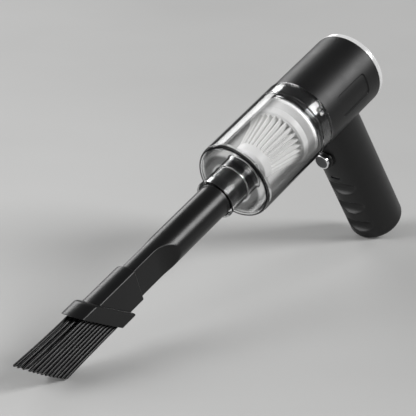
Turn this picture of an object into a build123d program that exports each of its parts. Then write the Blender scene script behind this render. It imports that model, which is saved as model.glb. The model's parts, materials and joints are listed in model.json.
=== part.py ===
"""Handheld mini vacuum cleaner, resting on its brush tips and on the foot of its handle.

Stations (s) run along the main axis from the seam between cup and barrel, positive toward the rear.
Heights (u) stand square to the main axis, x is sideways. The handle has its own depth (d) along its
axis and its own front (f). The nose points to -Y and the floor is z = 0.
"""
import os
from math import asin, atan2, cos, hypot, radians, sin, sqrt, tan

from build123d import *

os.makedirs("parts", exist_ok=True)

# How far a cutting shape reaches past what it cuts, and the least edge left beside a rounding
OVERCUT = 1.0
LEAST_EDGE = 0.2
LEAST_ROUND = 0.5

# Motor barrel and rear cap
BARREL_RADIUS = 30.0
BARREL_LENGTH = 64.8
BARREL_WALL = 2.4
CAP_LENGTH = 4.2
CAP_ROUND = 3.0
CAP_PLATE = 3.0
CAP_SKIRT = 8.0
CAP_SKIRT_WALL = 1.7
VENT_COUNT = 20
VENT_WIDTH = 1.8
VENT_INNER = 9.0
VENT_LENGTH = 14.0
FOAM_THICKNESS = 5.0
RECESS_DEPTH = 0.8
RECESS_LENGTH = 35.0
RECESS_HEIGHT = 17.6
RECESS_START = 15.5
RECESS_RISE = 3.5
RECESS_ROUND = 3.0

# Dust cup
CUP_RADIUS = 30.75
CUP_LENGTH = 88.0
CUP_WALL = 2.0
CUP_ROUND = 5.0
FRONT_WALL = 2.2
NECK_RADIUS = 15.0
NECK_LENGTH = 20.0
NECK_BEAD = 0.7
NECK_BEAD_LENGTH = 2.4
DUCT_LENGTH = 11.5
DUCT_LIP = 1.5
SEAM_GAP = 0.3

# Collar between cup and barrel
COLLAR_LENGTH = 15.0
COLLAR_PLUG = 8.0
COLLAR_PLATE = 3.5
COLLAR_WALL = 2.4
COLLAR_CLEARANCE = 0.3
SEAL_SECTION = 1.1
SEAL_INSET = 3.4
SEAL_CLEARANCE = 0.12
LUG_COUNT = 3
LUG_ANGLE = 28.0
LUG_LENGTH = 4.0
LUG_WIDTH = 6.5
LUG_HEIGHT = 0.9
LUG_INSET = 8.0
LUG_CLEARANCE = 0.3

# Pleated filter
FILTER_BASE_LENGTH = 13.5
FILTER_BASE_RADIUS = 27.6
FILTER_STEP_RADIUS = 24.4
FILTER_STEP_LENGTH = 6.0
FILTER_SLEEVE_RADIUS = 18.9
FILTER_SLEEVE_WALL = 1.7
FILTER_SLEEVE_DEPTH = 6.0
FILTER_SLEEVE_CLEARANCE = 0.35
GASKET_THICKNESS = 1.4
SEAT_GAP = 0.1
PLEAT_COUNT = 28
PLEAT_REAR_RADIUS = 22.6
PLEAT_REAR_DEPTH = 3.6
PLEAT_FRONT_RADIUS = 15.0
PLEAT_FRONT_DEPTH = 2.4
PLEAT_SHEET = 0.9
FILTER_CAP_LENGTH = 9.5
FILTER_DUCT_GAP = 5.8
FILTER_CAP_RIM = 0.8
FILTER_CAP_FACE = 2.5
FILTER_CAP_ROUND = 1.2

# Nozzle tube with flattened mouth
TUBE_RADIUS = 12.75
TUBE_WALL = 1.6
TUBE_LENGTH = 162.5
TUBE_FLAT = 6.0
FLAT_LENGTH = 54.0
FLAT_RUNOUT = 46.0
MOUTH_SLANT = 44.0
NECK_CLEARANCE = 0.2
RING_SECTION = 0.5
RING_INSET = 22.0
RING_CLEARANCE = 0.1

# Brush head
SLEEVE_COVER = 31.0
SLEEVE_WALL = 1.8
SLEEVE_CLEARANCE = 0.3
FLANGE_LENGTH = 16.0
FLANGE_LIP = 3.2
FLANGE_SIDE_LIP = 1.7
FLANGE_BEVEL = 1.0
MOUTH_DEPTH = 12.0
BACKING_DEPTH = 3.0
BACKING_BORDER = 1.6
BACKING_INNER = 0.5

# Bristles
BRISTLE_LENGTH = 57.5
BRISTLE_SIDE = 0.44
TUFTS_PER_SIDE = 9
TUFTS_PER_END = 3
TUFT_RADIUS = 1.25
TUFT_RING = 9
TUFT_CORE = 4
TUFT_CORE_RADIUS = 0.55

# Handle
HANDLE_STATION = 28.0
HANDLE_LEAN = 12.8
HANDLE_RADIUS = 21.5
HANDLE_LENGTH = 145.5
HANDLE_WALL = 2.4
HANDLE_FLOOR = 3.0
HANDLE_ROUND = 5.0
HANDLE_FRONT_WALL = 6.7
GROOVE_COUNT = 3
GROOVE_FIRST = 83.5
GROOVE_PITCH = 22.5
GROOVE_DEPTH = 4.3
GROOVE_HEIGHT = 13.5
WIRE_HOLE = 9.0
BUTTON_WELL = 6.0

# Push button on the handle
BUTTON_DROP = 51.0
BUTTON_FRONT = 11.8
BUTTON_RADIUS = 6.2
BUTTON_TRAVEL = 2.0
BUTTON_CLEARANCE = 0.2
BUTTON_FLANGE = 1.0
BUTTON_FLANGE_LENGTH = 1.5
BUTTON_RIM = 1.0
FACE_THICKNESS = 1.2
FACE_DISH = 0.6
FACE_INSET = 0.3
BEZEL_RADIUS = 8.0
BEZEL_FRONT = 14.8
BEZEL_LENGTH = 9.5
BEZEL_RIDGE = 0.5
BEZEL_RIDGE_PITCH = 2.0
BEZEL_RIDGE_WIDTH = 0.8
BEZEL_RIDGES = 2
SWITCH_SIDE = 12.0
SWITCH_LENGTH = 8.0
SWITCH_GAP = 0.5
BOARD_THICKNESS = 1.6
SWITCH_BOARD_HEIGHT = 20.0
FIT_GAP = 0.2

# Charging socket
SOCKET_DEPTH = 70.8
SOCKET_WIDTH = 8.9
SOCKET_HEIGHT = 2.9
SOCKET_WALL = 0.35
SOCKET_INSET = 0.3
SOCKET_TONGUE = 0.7
SOCKET_BACK = 0.6
SOCKET_FIT = 0.1
CHARGE_BOARD_LENGTH = 13.0
CHARGE_BOARD_WIDTH = 22.0

# Batteries
CELL_RADIUS = 9.2
CELL_SPREAD = 9.35
CELL_SETBACK = 1.5
CELL_DROP = 6.3
LINK_THICKNESS = 0.4
HOLDER_THICKNESS = 1.8

# Motor and fan
SHROUD_LENGTH = 15.0
SHROUD_INLET = 12.0
SHROUD_PLATE = 2.5
SHROUD_WALL = 2.0
FAN_RADIUS = 21.5
FAN_HUB = 5.0
FAN_DISC = 1.2
FAN_GAP = 1.0
BLADE_COUNT = 9
BLADE_HEIGHT = 7.5
BLADE_THICKNESS = 1.2
BLADE_SWEEP = 7.0
BLADE_CURVE = 16.0
HUB_LENGTH = 10.5
SHAFT_RADIUS = 1.5
SHAFT_CLEARANCE = 0.05
SHAFT_OVERHANG = 2.0
MOTOR_RADIUS = 17.5
MOTOR_LENGTH = 26.0
MOTOR_BOSS = 6.0
MOTOR_BOSS_LENGTH = 0.5
MOUNT_THICKNESS = 3.0
MOUNT_PORTS = 8
MOUNT_PORT_RADIUS = 3.4
TERMINAL_LENGTH = 5.0
TERMINAL_WIDTH = 3.0
TERMINAL_THICKNESS = 0.6
TERMINAL_SPREAD = 10.0

# Derived stations along the main axis
CUP_REAR = -SEAM_GAP
CUP_FRONT = -CUP_LENGTH
CUP_BORE = CUP_RADIUS - CUP_WALL
NECK_FRONT = CUP_FRONT - NECK_LENGTH
NECK_BORE = TUBE_RADIUS + NECK_CLEARANCE
DUCT_END = CUP_FRONT + FRONT_WALL + DUCT_LENGTH
COLLAR_FRONT = -COLLAR_LENGTH
COLLAR_RADIUS = CUP_BORE - COLLAR_CLEARANCE
COLLAR_BORE = FILTER_SLEEVE_RADIUS + FILTER_SLEEVE_CLEARANCE
BARREL_BORE = BARREL_RADIUS - BARREL_WALL
GASKET_FRONT = COLLAR_FRONT - SEAT_GAP - GASKET_THICKNESS
BASE_FRONT = GASKET_FRONT - FILTER_BASE_LENGTH
FILTER_FRONT = DUCT_END + FILTER_DUCT_GAP
PLEAT_FRONT = FILTER_FRONT + FILTER_CAP_LENGTH
TUBE_REAR = DUCT_END - DUCT_LIP - SEAT_GAP
TUBE_FRONT = TUBE_REAR - TUBE_LENGTH
FLAT_REAR = TUBE_FRONT + FLAT_LENGTH
SLEEVE_REAR = TUBE_FRONT + SLEEVE_COVER
LEDGE = TUBE_FRONT - SEAT_GAP
BRUSH_MOUTH = TUBE_FRONT - MOUTH_DEPTH
FLANGE_REAR = BRUSH_MOUTH + FLANGE_LENGTH
SLEEVE_RADIUS = TUBE_RADIUS + SLEEVE_CLEARANCE + SLEEVE_WALL
SLEEVE_FLAT = TUBE_FLAT + SLEEVE_CLEARANCE + SLEEVE_WALL
FLANGE_RADIUS = SLEEVE_RADIUS + FLANGE_LIP
FLANGE_FLAT = SLEEVE_FLAT + FLANGE_SIDE_LIP
AIR_RADIUS = TUBE_RADIUS - TUBE_WALL
AIR_FLAT = TUBE_FLAT - TUBE_WALL
BACKING_RADIUS = FLANGE_RADIUS - BACKING_BORDER
BACKING_FLAT = FLANGE_FLAT - BACKING_BORDER
TUFT_LINE_RADIUS = (BACKING_RADIUS + AIR_RADIUS + BACKING_INNER) / 2
TUFT_LINE_FLAT = (BACKING_FLAT + AIR_FLAT + BACKING_INNER) / 2
TUFT_LINE_HEIGHT = sqrt(TUFT_LINE_RADIUS**2 - TUFT_LINE_FLAT**2)
SLANT_RATE = tan(radians(MOUTH_SLANT))

# Resting tilt: the floor line touches the lowest bristle tip and the rounded front of the foot
LEAN = radians(HANDLE_LEAN)
TIP_U = -(TUFT_LINE_RADIUS + TUFT_RADIUS + BRISTLE_SIDE / 2)
TIP_S = BRUSH_MOUTH - BRISTLE_LENGTH - TIP_U * SLANT_RATE
FOOT_F = HANDLE_RADIUS - HANDLE_ROUND
FOOT_D = HANDLE_LENGTH - HANDLE_ROUND
FOOT_S = HANDLE_STATION + FOOT_D * sin(LEAN) - FOOT_F * cos(LEAN)
FOOT_U = -FOOT_D * cos(LEAN) - FOOT_F * sin(LEAN)
FOOT_REACH = hypot(FOOT_S - TIP_S, FOOT_U - TIP_U)
TILT = atan2(TIP_U - FOOT_U, FOOT_S - TIP_S) + asin(HANDLE_ROUND / FOOT_REACH)

# Directions of the main axis, of the handle and of the rest frame
SIDE = Vector(1, 0, 0)
AXIS = Vector(0, cos(TILT), sin(TILT))
UP = Vector(0, -sin(TILT), cos(TILT))
DOWN = AXIS * sin(LEAN) - UP * cos(LEAN)
FRONT = -AXIS * cos(LEAN) - UP * sin(LEAN)
HIGH_TIP = AXIS * (BRUSH_MOUTH - BRISTLE_LENGTH + TIP_U * SLANT_RATE) - UP * TIP_U
LOW_TIP = AXIS * TIP_S + UP * TIP_U
HEEL = AXIS * HANDLE_STATION + DOWN * FOOT_D - FRONT * FOOT_F
SEAM = Vector(0, -(HIGH_TIP.Y + HEEL.Y + HANDLE_ROUND) / 2, -LOW_TIP.Z)


def spot(s, u=0.0, x=0.0):
    """The point at a station, a height and a sideways place."""
    return SEAM + AXIS * s + UP * u + SIDE * x


def station(s, u=0.0):
    """The cross plane at a station: local y is up, the normal points to the rear."""
    return Plane(origin=spot(s, u), x_dir=-SIDE, z_dir=AXIS)


def slanted(s):
    """The slanted mouth plane through the axis at a station: the normal points to the rear."""
    return Plane(origin=spot(s), x_dir=-SIDE, z_dir=(AXIS + UP * SLANT_RATE).normalized())


def outward(angle, s, r):
    """A plane square to the radius at an angle: local x runs to the rear."""
    ray = SIDE * cos(radians(angle)) + UP * sin(radians(angle))
    return Plane(origin=spot(s) + ray * r, x_dir=AXIS, z_dir=ray)


def across_handle(d):
    """The cross plane of the handle: local x is sideways, local y its front, the normal runs down."""
    return Plane(origin=spot(HANDLE_STATION) + DOWN * d, x_dir=SIDE, z_dir=DOWN)


def facing_handle(f, d):
    """A plane square to the handle's front: local x is sideways, the normal points forward."""
    place = spot(HANDLE_STATION) + DOWN * d + FRONT * f
    return Plane(origin=place, x_dir=SIDE, z_dir=FRONT)


# Profile planes: station against radius, station against side, and the handle seen from the side
PROFILE = Plane(origin=spot(0), x_dir=AXIS, z_dir=SIDE)
PLAN = Plane(origin=spot(0), x_dir=AXIS, z_dir=UP)
HANDLE_PROFILE = Plane(origin=spot(HANDLE_STATION), x_dir=FRONT, z_dir=SIDE)
BUTTON_PROFILE = Plane(origin=spot(0, -BUTTON_DROP), x_dir=AXIS, z_dir=SIDE)
MAIN_LINE = Axis(spot(0), AXIS)
BUTTON_LINE = Axis(spot(0, -BUTTON_DROP), AXIS)


def corner(sketch, s, r):
    """The corner of a profile nearest to a station and a radius."""
    return sketch.vertices().sort_by_distance((s, r))[0]


def flat_sided(radius, flat):
    """A round section cut by two upright flats."""
    Circle(radius)
    Rectangle(2 * flat, 2 * radius + OVERCUT, mode=Mode.INTERSECT)


def flattened_bar(radius, flat, runout, rear, front):
    """A round bar whose front end has two flats that run out in arcs, with a slanted mouth."""
    reach = radius * SLANT_RATE + OVERCUT
    rise = radius + OVERCUT - flat
    past = front - reach - OVERCUT
    end = FLAT_REAR + sqrt(2 * runout * rise - rise**2)
    with BuildPart() as bar:
        with BuildSketch(station(front - reach)):
            Circle(radius)
        extrude(amount=rear - front + reach)
        with BuildSketch(PLAN):
            with BuildLine():
                arc = TangentArc((FLAT_REAR, flat), (end, flat + rise), tangent=(1, 0))
                Polyline(arc @ 1, (past, flat + rise), (past, flat), arc @ 0)
            make_face()
            mirror(about=Plane.XZ)
        extrude(amount=radius + OVERCUT, both=True, mode=Mode.SUBTRACT)
        split(bisect_by=slanted(front), keep=Keep.TOP)
    return bar.part


def recess_tool(side):
    """The shallow panel pressed into one side of the barrel."""
    middle = RECESS_START + RECESS_LENGTH / 2
    floor = BARREL_RADIUS - RECESS_DEPTH
    with BuildPart() as tool:
        with BuildSketch(PROFILE.offset(side * BARREL_RADIUS / 2)):
            with Locations((middle, RECESS_RISE)):
                RectangleRounded(RECESS_LENGTH, RECESS_HEIGHT, RECESS_ROUND)
        extrude(amount=side * BARREL_RADIUS)
        with BuildSketch(station(RECESS_START - OVERCUT)):
            Circle(floor)
        extrude(amount=RECESS_LENGTH + 2 * OVERCUT, mode=Mode.SUBTRACT)
    return tool.part


# Motor barrel: open tube with a pressed panel on each side and a wire passage to the handle
recesses = [recess_tool(side) for side in (1, -1)]
with BuildPart() as motor_barrel:
    with BuildSketch(station(0)):
        Circle(BARREL_RADIUS)
        Circle(BARREL_BORE, mode=Mode.SUBTRACT)
    extrude(amount=BARREL_LENGTH)
    for recess in recesses:
        add(recess, mode=Mode.SUBTRACT)
    with BuildSketch(across_handle(0)):
        Circle(WIRE_HOLE)
    extrude(amount=HANDLE_RADIUS + BARREL_RADIUS, mode=Mode.SUBTRACT)
motor_barrel.part.label = "motor_barrel"
export_step(motor_barrel.part, "parts/motor_barrel.step")

# Rear cap: rounded lid with a ring of exhaust slots and a plug skirt
CAP_REAR = BARREL_LENGTH + CAP_LENGTH
with BuildPart() as rear_cap:
    with BuildSketch(PROFILE) as lid:
        with BuildLine():
            Polyline(
                (CAP_REAR - CAP_PLATE, 0),
                (CAP_REAR, 0),
                (CAP_REAR, BARREL_RADIUS),
                (BARREL_LENGTH, BARREL_RADIUS),
                (BARREL_LENGTH, BARREL_BORE),
                (BARREL_LENGTH - CAP_SKIRT, BARREL_BORE),
                (BARREL_LENGTH - CAP_SKIRT, BARREL_BORE - CAP_SKIRT_WALL),
                (CAP_REAR - CAP_PLATE, BARREL_BORE - CAP_SKIRT_WALL),
                close=True,
            )
        make_face()
        fillet(corner(lid, CAP_REAR, BARREL_RADIUS), min(CAP_ROUND, CAP_LENGTH - LEAST_EDGE))
    revolve(axis=MAIN_LINE)
    with BuildSketch(station(CAP_REAR - CAP_PLATE - OVERCUT)):
        with PolarLocations(VENT_INNER + VENT_LENGTH / 2, VENT_COUNT):
            SlotOverall(VENT_LENGTH, VENT_WIDTH)
    extrude(amount=CAP_PLATE + 2 * OVERCUT, mode=Mode.SUBTRACT)
rear_cap.part.label = "rear_cap"
export_step(rear_cap.part, "parts/rear_cap.step")

# Exhaust foam behind the slots
with BuildPart() as exhaust_foam:
    with BuildSketch(station(CAP_REAR - CAP_PLATE - FOAM_THICKNESS)):
        Circle(BARREL_BORE - CAP_SKIRT_WALL)
    extrude(amount=FOAM_THICKNESS)
exhaust_foam.part.label = "exhaust_foam"
export_step(exhaust_foam.part, "parts/exhaust_foam.step")

# Front collar: plugs into the barrel, carries the cup seal, the lugs and the filter seat
SEAL_STATION = COLLAR_FRONT + SEAL_INSET
SEAL_OUTER = CUP_BORE - SEAL_CLEARANCE
GROOVE_FLOOR = SEAL_OUTER - 2 * SEAL_SECTION
LUG_STATION = COLLAR_FRONT + LUG_INSET + LUG_LENGTH / 2
LUG_ANGLES = [LUG_ANGLE + i * 360 / LUG_COUNT for i in range(LUG_COUNT)]
with BuildPart() as front_collar:
    with BuildSketch(PROFILE):
        with BuildLine():
            Polyline(
                (COLLAR_FRONT, COLLAR_BORE),
                (COLLAR_FRONT, COLLAR_RADIUS),
                (SEAL_STATION - SEAL_SECTION, COLLAR_RADIUS),
                (SEAL_STATION - SEAL_SECTION, GROOVE_FLOOR),
                (SEAL_STATION + SEAL_SECTION, GROOVE_FLOOR),
                (SEAL_STATION + SEAL_SECTION, COLLAR_RADIUS),
                (0, COLLAR_RADIUS),
                (0, BARREL_BORE),
                (COLLAR_PLUG, BARREL_BORE),
                (COLLAR_PLUG, BARREL_BORE - COLLAR_WALL),
                (COLLAR_FRONT + COLLAR_PLATE, BARREL_BORE - COLLAR_WALL),
                (COLLAR_FRONT + COLLAR_PLATE, COLLAR_BORE),
                close=True,
            )
        make_face()
    revolve(axis=MAIN_LINE)
    for angle in LUG_ANGLES:
        with BuildSketch(outward(angle, LUG_STATION, COLLAR_RADIUS - OVERCUT)):
            Rectangle(LUG_LENGTH, LUG_WIDTH)
        extrude(amount=LUG_HEIGHT + OVERCUT)
front_collar.part.label = "front_collar"
export_step(front_collar.part, "parts/front_collar.step")

# Seal ring in the collar's groove
with BuildPart() as cup_seal:
    with BuildSketch(PROFILE):
        with Locations((SEAL_STATION, SEAL_OUTER - SEAL_SECTION)):
            Circle(SEAL_SECTION)
    revolve(axis=MAIN_LINE)
cup_seal.part.label = "cup_seal"
export_step(cup_seal.part, "parts/cup_seal.step")

# Dust cup: clear shell, rounded front, neck outside and inlet duct inside, key slots at the rear
SLOT_END = LUG_STATION - LUG_LENGTH / 2 - LUG_CLEARANCE
SLOT_CUT = LUG_HEIGHT + LUG_CLEARANCE - COLLAR_CLEARANCE
with BuildPart() as dust_cup:
    with BuildSketch(PROFILE) as shell:
        with BuildLine():
            Polyline(
                (CUP_REAR, CUP_BORE),
                (CUP_REAR, CUP_RADIUS),
                (CUP_FRONT, CUP_RADIUS),
                (CUP_FRONT, NECK_RADIUS),
                (NECK_FRONT + NECK_BEAD_LENGTH, NECK_RADIUS),
                (NECK_FRONT + NECK_BEAD_LENGTH, NECK_RADIUS + NECK_BEAD),
                (NECK_FRONT, NECK_RADIUS + NECK_BEAD),
                (NECK_FRONT, NECK_BORE),
                (DUCT_END - DUCT_LIP, NECK_BORE),
                (DUCT_END - DUCT_LIP, AIR_RADIUS),
                (DUCT_END, AIR_RADIUS),
                (DUCT_END, NECK_RADIUS),
                (CUP_FRONT + FRONT_WALL, NECK_RADIUS),
                (CUP_FRONT + FRONT_WALL, CUP_BORE),
                close=True,
            )
        make_face()
        fillet(corner(shell, CUP_FRONT, CUP_RADIUS), CUP_ROUND)
        fillet(corner(shell, CUP_FRONT + FRONT_WALL, CUP_BORE), max(CUP_ROUND - CUP_WALL, LEAST_ROUND))
        fillet(corner(shell, NECK_FRONT, NECK_RADIUS + NECK_BEAD), NECK_BEAD)
        fillet(corner(shell, CUP_FRONT, NECK_RADIUS), NECK_BEAD)
    revolve(axis=MAIN_LINE)
    for angle in LUG_ANGLES:
        with BuildSketch(outward(angle, (SLOT_END + OVERCUT) / 2, CUP_BORE - OVERCUT)):
            Rectangle(OVERCUT - SLOT_END, LUG_WIDTH + 2 * LUG_CLEARANCE)
        extrude(amount=OVERCUT + SLOT_CUT, mode=Mode.SUBTRACT)
dust_cup.part.label = "dust_cup"
export_step(dust_cup.part, "parts/dust_cup.step")

# Filter base: stepped, flared ring with a sleeve that slides into the collar
with BuildPart() as filter_base:
    with BuildSketch(PROFILE) as ring:
        with BuildLine():
            Polyline(
                (BASE_FRONT, FILTER_SLEEVE_RADIUS - FILTER_SLEEVE_WALL),
                (BASE_FRONT, FILTER_STEP_RADIUS),
                (BASE_FRONT + FILTER_STEP_LENGTH, FILTER_STEP_RADIUS),
                (GASKET_FRONT - FILTER_STEP_LENGTH / 2, FILTER_BASE_RADIUS),
                (GASKET_FRONT, FILTER_BASE_RADIUS),
                (GASKET_FRONT, FILTER_SLEEVE_RADIUS),
                (COLLAR_FRONT + FILTER_SLEEVE_DEPTH, FILTER_SLEEVE_RADIUS),
                (COLLAR_FRONT + FILTER_SLEEVE_DEPTH, FILTER_SLEEVE_RADIUS - FILTER_SLEEVE_WALL),
                close=True,
            )
        make_face()
        fillet(corner(ring, BASE_FRONT, FILTER_STEP_RADIUS), FILTER_CAP_ROUND)
        fillet(corner(ring, GASKET_FRONT - FILTER_STEP_LENGTH / 2, FILTER_BASE_RADIUS), FILTER_CAP_ROUND)
    revolve(axis=MAIN_LINE)
filter_base.part.label = "filter_base"
export_step(filter_base.part, "parts/filter_base.step")

# Filter gasket between base and collar
with BuildPart() as filter_gasket:
    with BuildSketch(station(GASKET_FRONT)):
        Circle(FILTER_BASE_RADIUS - FILTER_CAP_RIM)
        Circle(FILTER_SLEEVE_RADIUS, mode=Mode.SUBTRACT)
    extrude(amount=GASKET_THICKNESS)
filter_gasket.part.label = "filter_gasket"
export_step(filter_gasket.part, "parts/filter_gasket.step")


def pleat_star(peak, depth):
    """Corners of a pleated ring: peaks and valleys in turn."""
    points = []
    for i in range(2 * PLEAT_COUNT):
        turn = radians(i * 180 / PLEAT_COUNT)
        reach = peak - depth * (i % 2)
        points.append((reach * cos(turn), reach * sin(turn)))
    return points


def pleated_cone(inset):
    """A pleated cone between the two pleat stations, drawn in by an inset."""
    with BuildPart() as cone:
        with BuildSketch(station(PLEAT_FRONT)):
            Polygon(*pleat_star(PLEAT_FRONT_RADIUS - inset, PLEAT_FRONT_DEPTH), align=None)
        with BuildSketch(station(BASE_FRONT)):
            Polygon(*pleat_star(PLEAT_REAR_RADIUS - inset, PLEAT_REAR_DEPTH), align=None)
        loft(ruled=True)
    return cone.part


# Pleated filter sheet, folded all round the cone
pleat_outside = pleated_cone(0.0)
pleat_inside = pleated_cone(PLEAT_SHEET)
with BuildPart() as filter_pleats:
    add(pleat_outside)
    add(pleat_inside, mode=Mode.SUBTRACT)
filter_pleats.part.label = "filter_pleats"
export_step(filter_pleats.part, "parts/filter_pleats.step")

# Filter cap over the narrow end of the pleats
CAP_BORE = PLEAT_FRONT_RADIUS - PLEAT_FRONT_DEPTH - PLEAT_SHEET - FILTER_CAP_RIM
with BuildPart() as filter_cap:
    with BuildSketch(PROFILE) as lid:
        with BuildLine():
            Polyline(
                (FILTER_FRONT, 0),
                (FILTER_FRONT, PLEAT_FRONT_RADIUS - FILTER_CAP_FACE),
                (FILTER_FRONT + FILTER_CAP_FACE, PLEAT_FRONT_RADIUS),
                (PLEAT_FRONT, PLEAT_FRONT_RADIUS + FILTER_CAP_RIM),
                (PLEAT_FRONT, CAP_BORE),
                (FILTER_FRONT + FILTER_CAP_FACE, CAP_BORE),
                (FILTER_FRONT + FILTER_CAP_FACE, 0),
                close=True,
            )
        make_face()
        fillet(corner(lid, FILTER_FRONT, PLEAT_FRONT_RADIUS - FILTER_CAP_FACE), FILTER_CAP_ROUND)
        fillet(corner(lid, FILTER_FRONT + FILTER_CAP_FACE, PLEAT_FRONT_RADIUS), FILTER_CAP_ROUND)
    revolve(axis=MAIN_LINE)
filter_cap.part.label = "filter_cap"
export_step(filter_cap.part, "parts/filter_cap.step")

# Crevice nozzle: round tube flattened on both sides toward a slanted mouth
RING_STATION = TUBE_REAR - RING_INSET
RING_OUTER = NECK_BORE - RING_CLEARANCE
tube_outside = flattened_bar(TUBE_RADIUS, TUBE_FLAT, FLAT_RUNOUT, TUBE_REAR, TUBE_FRONT)
bore_runout = FLAT_RUNOUT + TUBE_WALL
tube_inside = flattened_bar(AIR_RADIUS, AIR_FLAT, bore_runout, TUBE_REAR + OVERCUT, TUBE_FRONT - OVERCUT)
with BuildPart() as crevice_nozzle:
    add(tube_outside)
    add(tube_inside, mode=Mode.SUBTRACT)
    with BuildSketch(PROFILE):
        with Locations((RING_STATION, RING_OUTER - RING_SECTION)):
            Rectangle(2 * RING_SECTION, 2 * RING_SECTION)
    revolve(axis=MAIN_LINE, mode=Mode.SUBTRACT)
crevice_nozzle.part.label = "crevice_nozzle"
export_step(crevice_nozzle.part, "parts/crevice_nozzle.step")

# Seal ring of the nozzle inside the neck
with BuildPart() as nozzle_seal:
    with BuildSketch(PROFILE):
        with Locations((RING_STATION, RING_OUTER - RING_SECTION)):
            Circle(RING_SECTION)
    revolve(axis=MAIN_LINE)
nozzle_seal.part.label = "nozzle_seal"
export_step(nozzle_seal.part, "parts/nozzle_seal.step")


def slanted_bar(radius, flat, front, rear, square_rear=False):
    """A flat-sided bar from a slanted front to a slanted or a square rear."""
    room = radius * SLANT_RATE + OVERCUT
    length = rear - front + room
    with BuildPart() as bar:
        with BuildSketch(station(front - room)):
            flat_sided(radius, flat)
        extrude(amount=length if square_rear else length + room)
        split(bisect_by=slanted(front), keep=Keep.TOP)
        if not square_rear:
            split(bisect_by=slanted(rear), keep=Keep.BOTTOM)
    return bar.part


# Brush head: sleeve over the nozzle, stepped slanted flange bevelled at the step, bristle recess
BACKING_REAR = BRUSH_MOUTH + BACKING_DEPTH
SOCKET_RADIUS = TUBE_RADIUS + SLEEVE_CLEARANCE
SOCKET_FLAT = TUBE_FLAT + SLEEVE_CLEARANCE
sleeve = slanted_bar(SLEEVE_RADIUS, SLEEVE_FLAT, BRUSH_MOUTH, SLEEVE_REAR, square_rear=True)
flange = slanted_bar(FLANGE_RADIUS, FLANGE_FLAT, BRUSH_MOUTH, FLANGE_REAR)
socket = slanted_bar(SOCKET_RADIUS, SOCKET_FLAT, LEDGE, SLEEVE_REAR + OVERCUT, square_rear=True)
airway = slanted_bar(AIR_RADIUS, AIR_FLAT, BRUSH_MOUTH - OVERCUT, LEDGE + OVERCUT)
recess = slanted_bar(BACKING_RADIUS, BACKING_FLAT, BRUSH_MOUTH - OVERCUT, BACKING_REAR)
with BuildPart() as brush_head:
    add(flange)
    step = brush_head.faces().sort_by(Axis(spot(0), slanted(0).z_dir))[-1]
    chamfer(step.edges(), FLANGE_BEVEL)
    add(sleeve)
    add(socket, mode=Mode.SUBTRACT)
    add(airway, mode=Mode.SUBTRACT)
    add(recess, mode=Mode.SUBTRACT)
brush_head.part.label = "brush_head"
export_step(brush_head.part, "parts/brush_head.step")


def tuft_places():
    """Tuft centres (x, u) round the mouth: both flat sides and both round ends."""
    places = []
    half_turn = asin(TUFT_LINE_FLAT / TUFT_LINE_RADIUS)
    for way in (1, -1):
        for i in range(TUFTS_PER_SIDE):
            rise = -1 + 2 * i / (TUFTS_PER_SIDE - 1)
            places.append((way * TUFT_LINE_FLAT, rise * TUFT_LINE_HEIGHT))
        for i in range(TUFTS_PER_END):
            turn = half_turn * (-1 + 2 * (i + 1) / (TUFTS_PER_END + 1))
            places.append((TUFT_LINE_RADIUS * sin(turn), way * TUFT_LINE_RADIUS * cos(turn)))
    return places


def strand_places():
    """Strand centres (x, u): an outer ring and a core in each tuft."""
    places = []
    for x, u in tuft_places():
        for count, reach in ((TUFT_RING, TUFT_RADIUS), (TUFT_CORE, TUFT_CORE_RADIUS)):
            for i in range(count):
                turn = radians(i * 360 / count)
                places.append((x + reach * cos(turn), u + reach * sin(turn)))
    return places


# Bristles: straight strands in tufts, cut off along the slant, set in their backing slice
SLANT_SCALE = cos(radians(MOUTH_SLANT))
strand_spots = [(-x, u / SLANT_SCALE) for x, u in strand_places()]
backing = slanted_bar(BACKING_RADIUS, BACKING_FLAT, BRUSH_MOUTH, BACKING_REAR)
with BuildPart() as bristles:
    with BuildSketch(slanted(BRUSH_MOUTH - BRISTLE_LENGTH)):
        with Locations(*strand_spots):
            Rectangle(BRISTLE_SIDE, BRISTLE_SIDE / SLANT_SCALE)
    extrude(amount=BRISTLE_LENGTH + BACKING_DEPTH / 2, dir=AXIS)
    add(backing)
    with BuildSketch(station(BACKING_REAR + BACKING_RADIUS * SLANT_RATE)):
        flat_sided(AIR_RADIUS, AIR_FLAT)
    extrude(amount=-2 * BACKING_RADIUS * SLANT_RATE - BACKING_DEPTH - OVERCUT, mode=Mode.SUBTRACT)
bristles.part.label = "bristles"
export_step(bristles.part, "parts/bristles.step")

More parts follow.
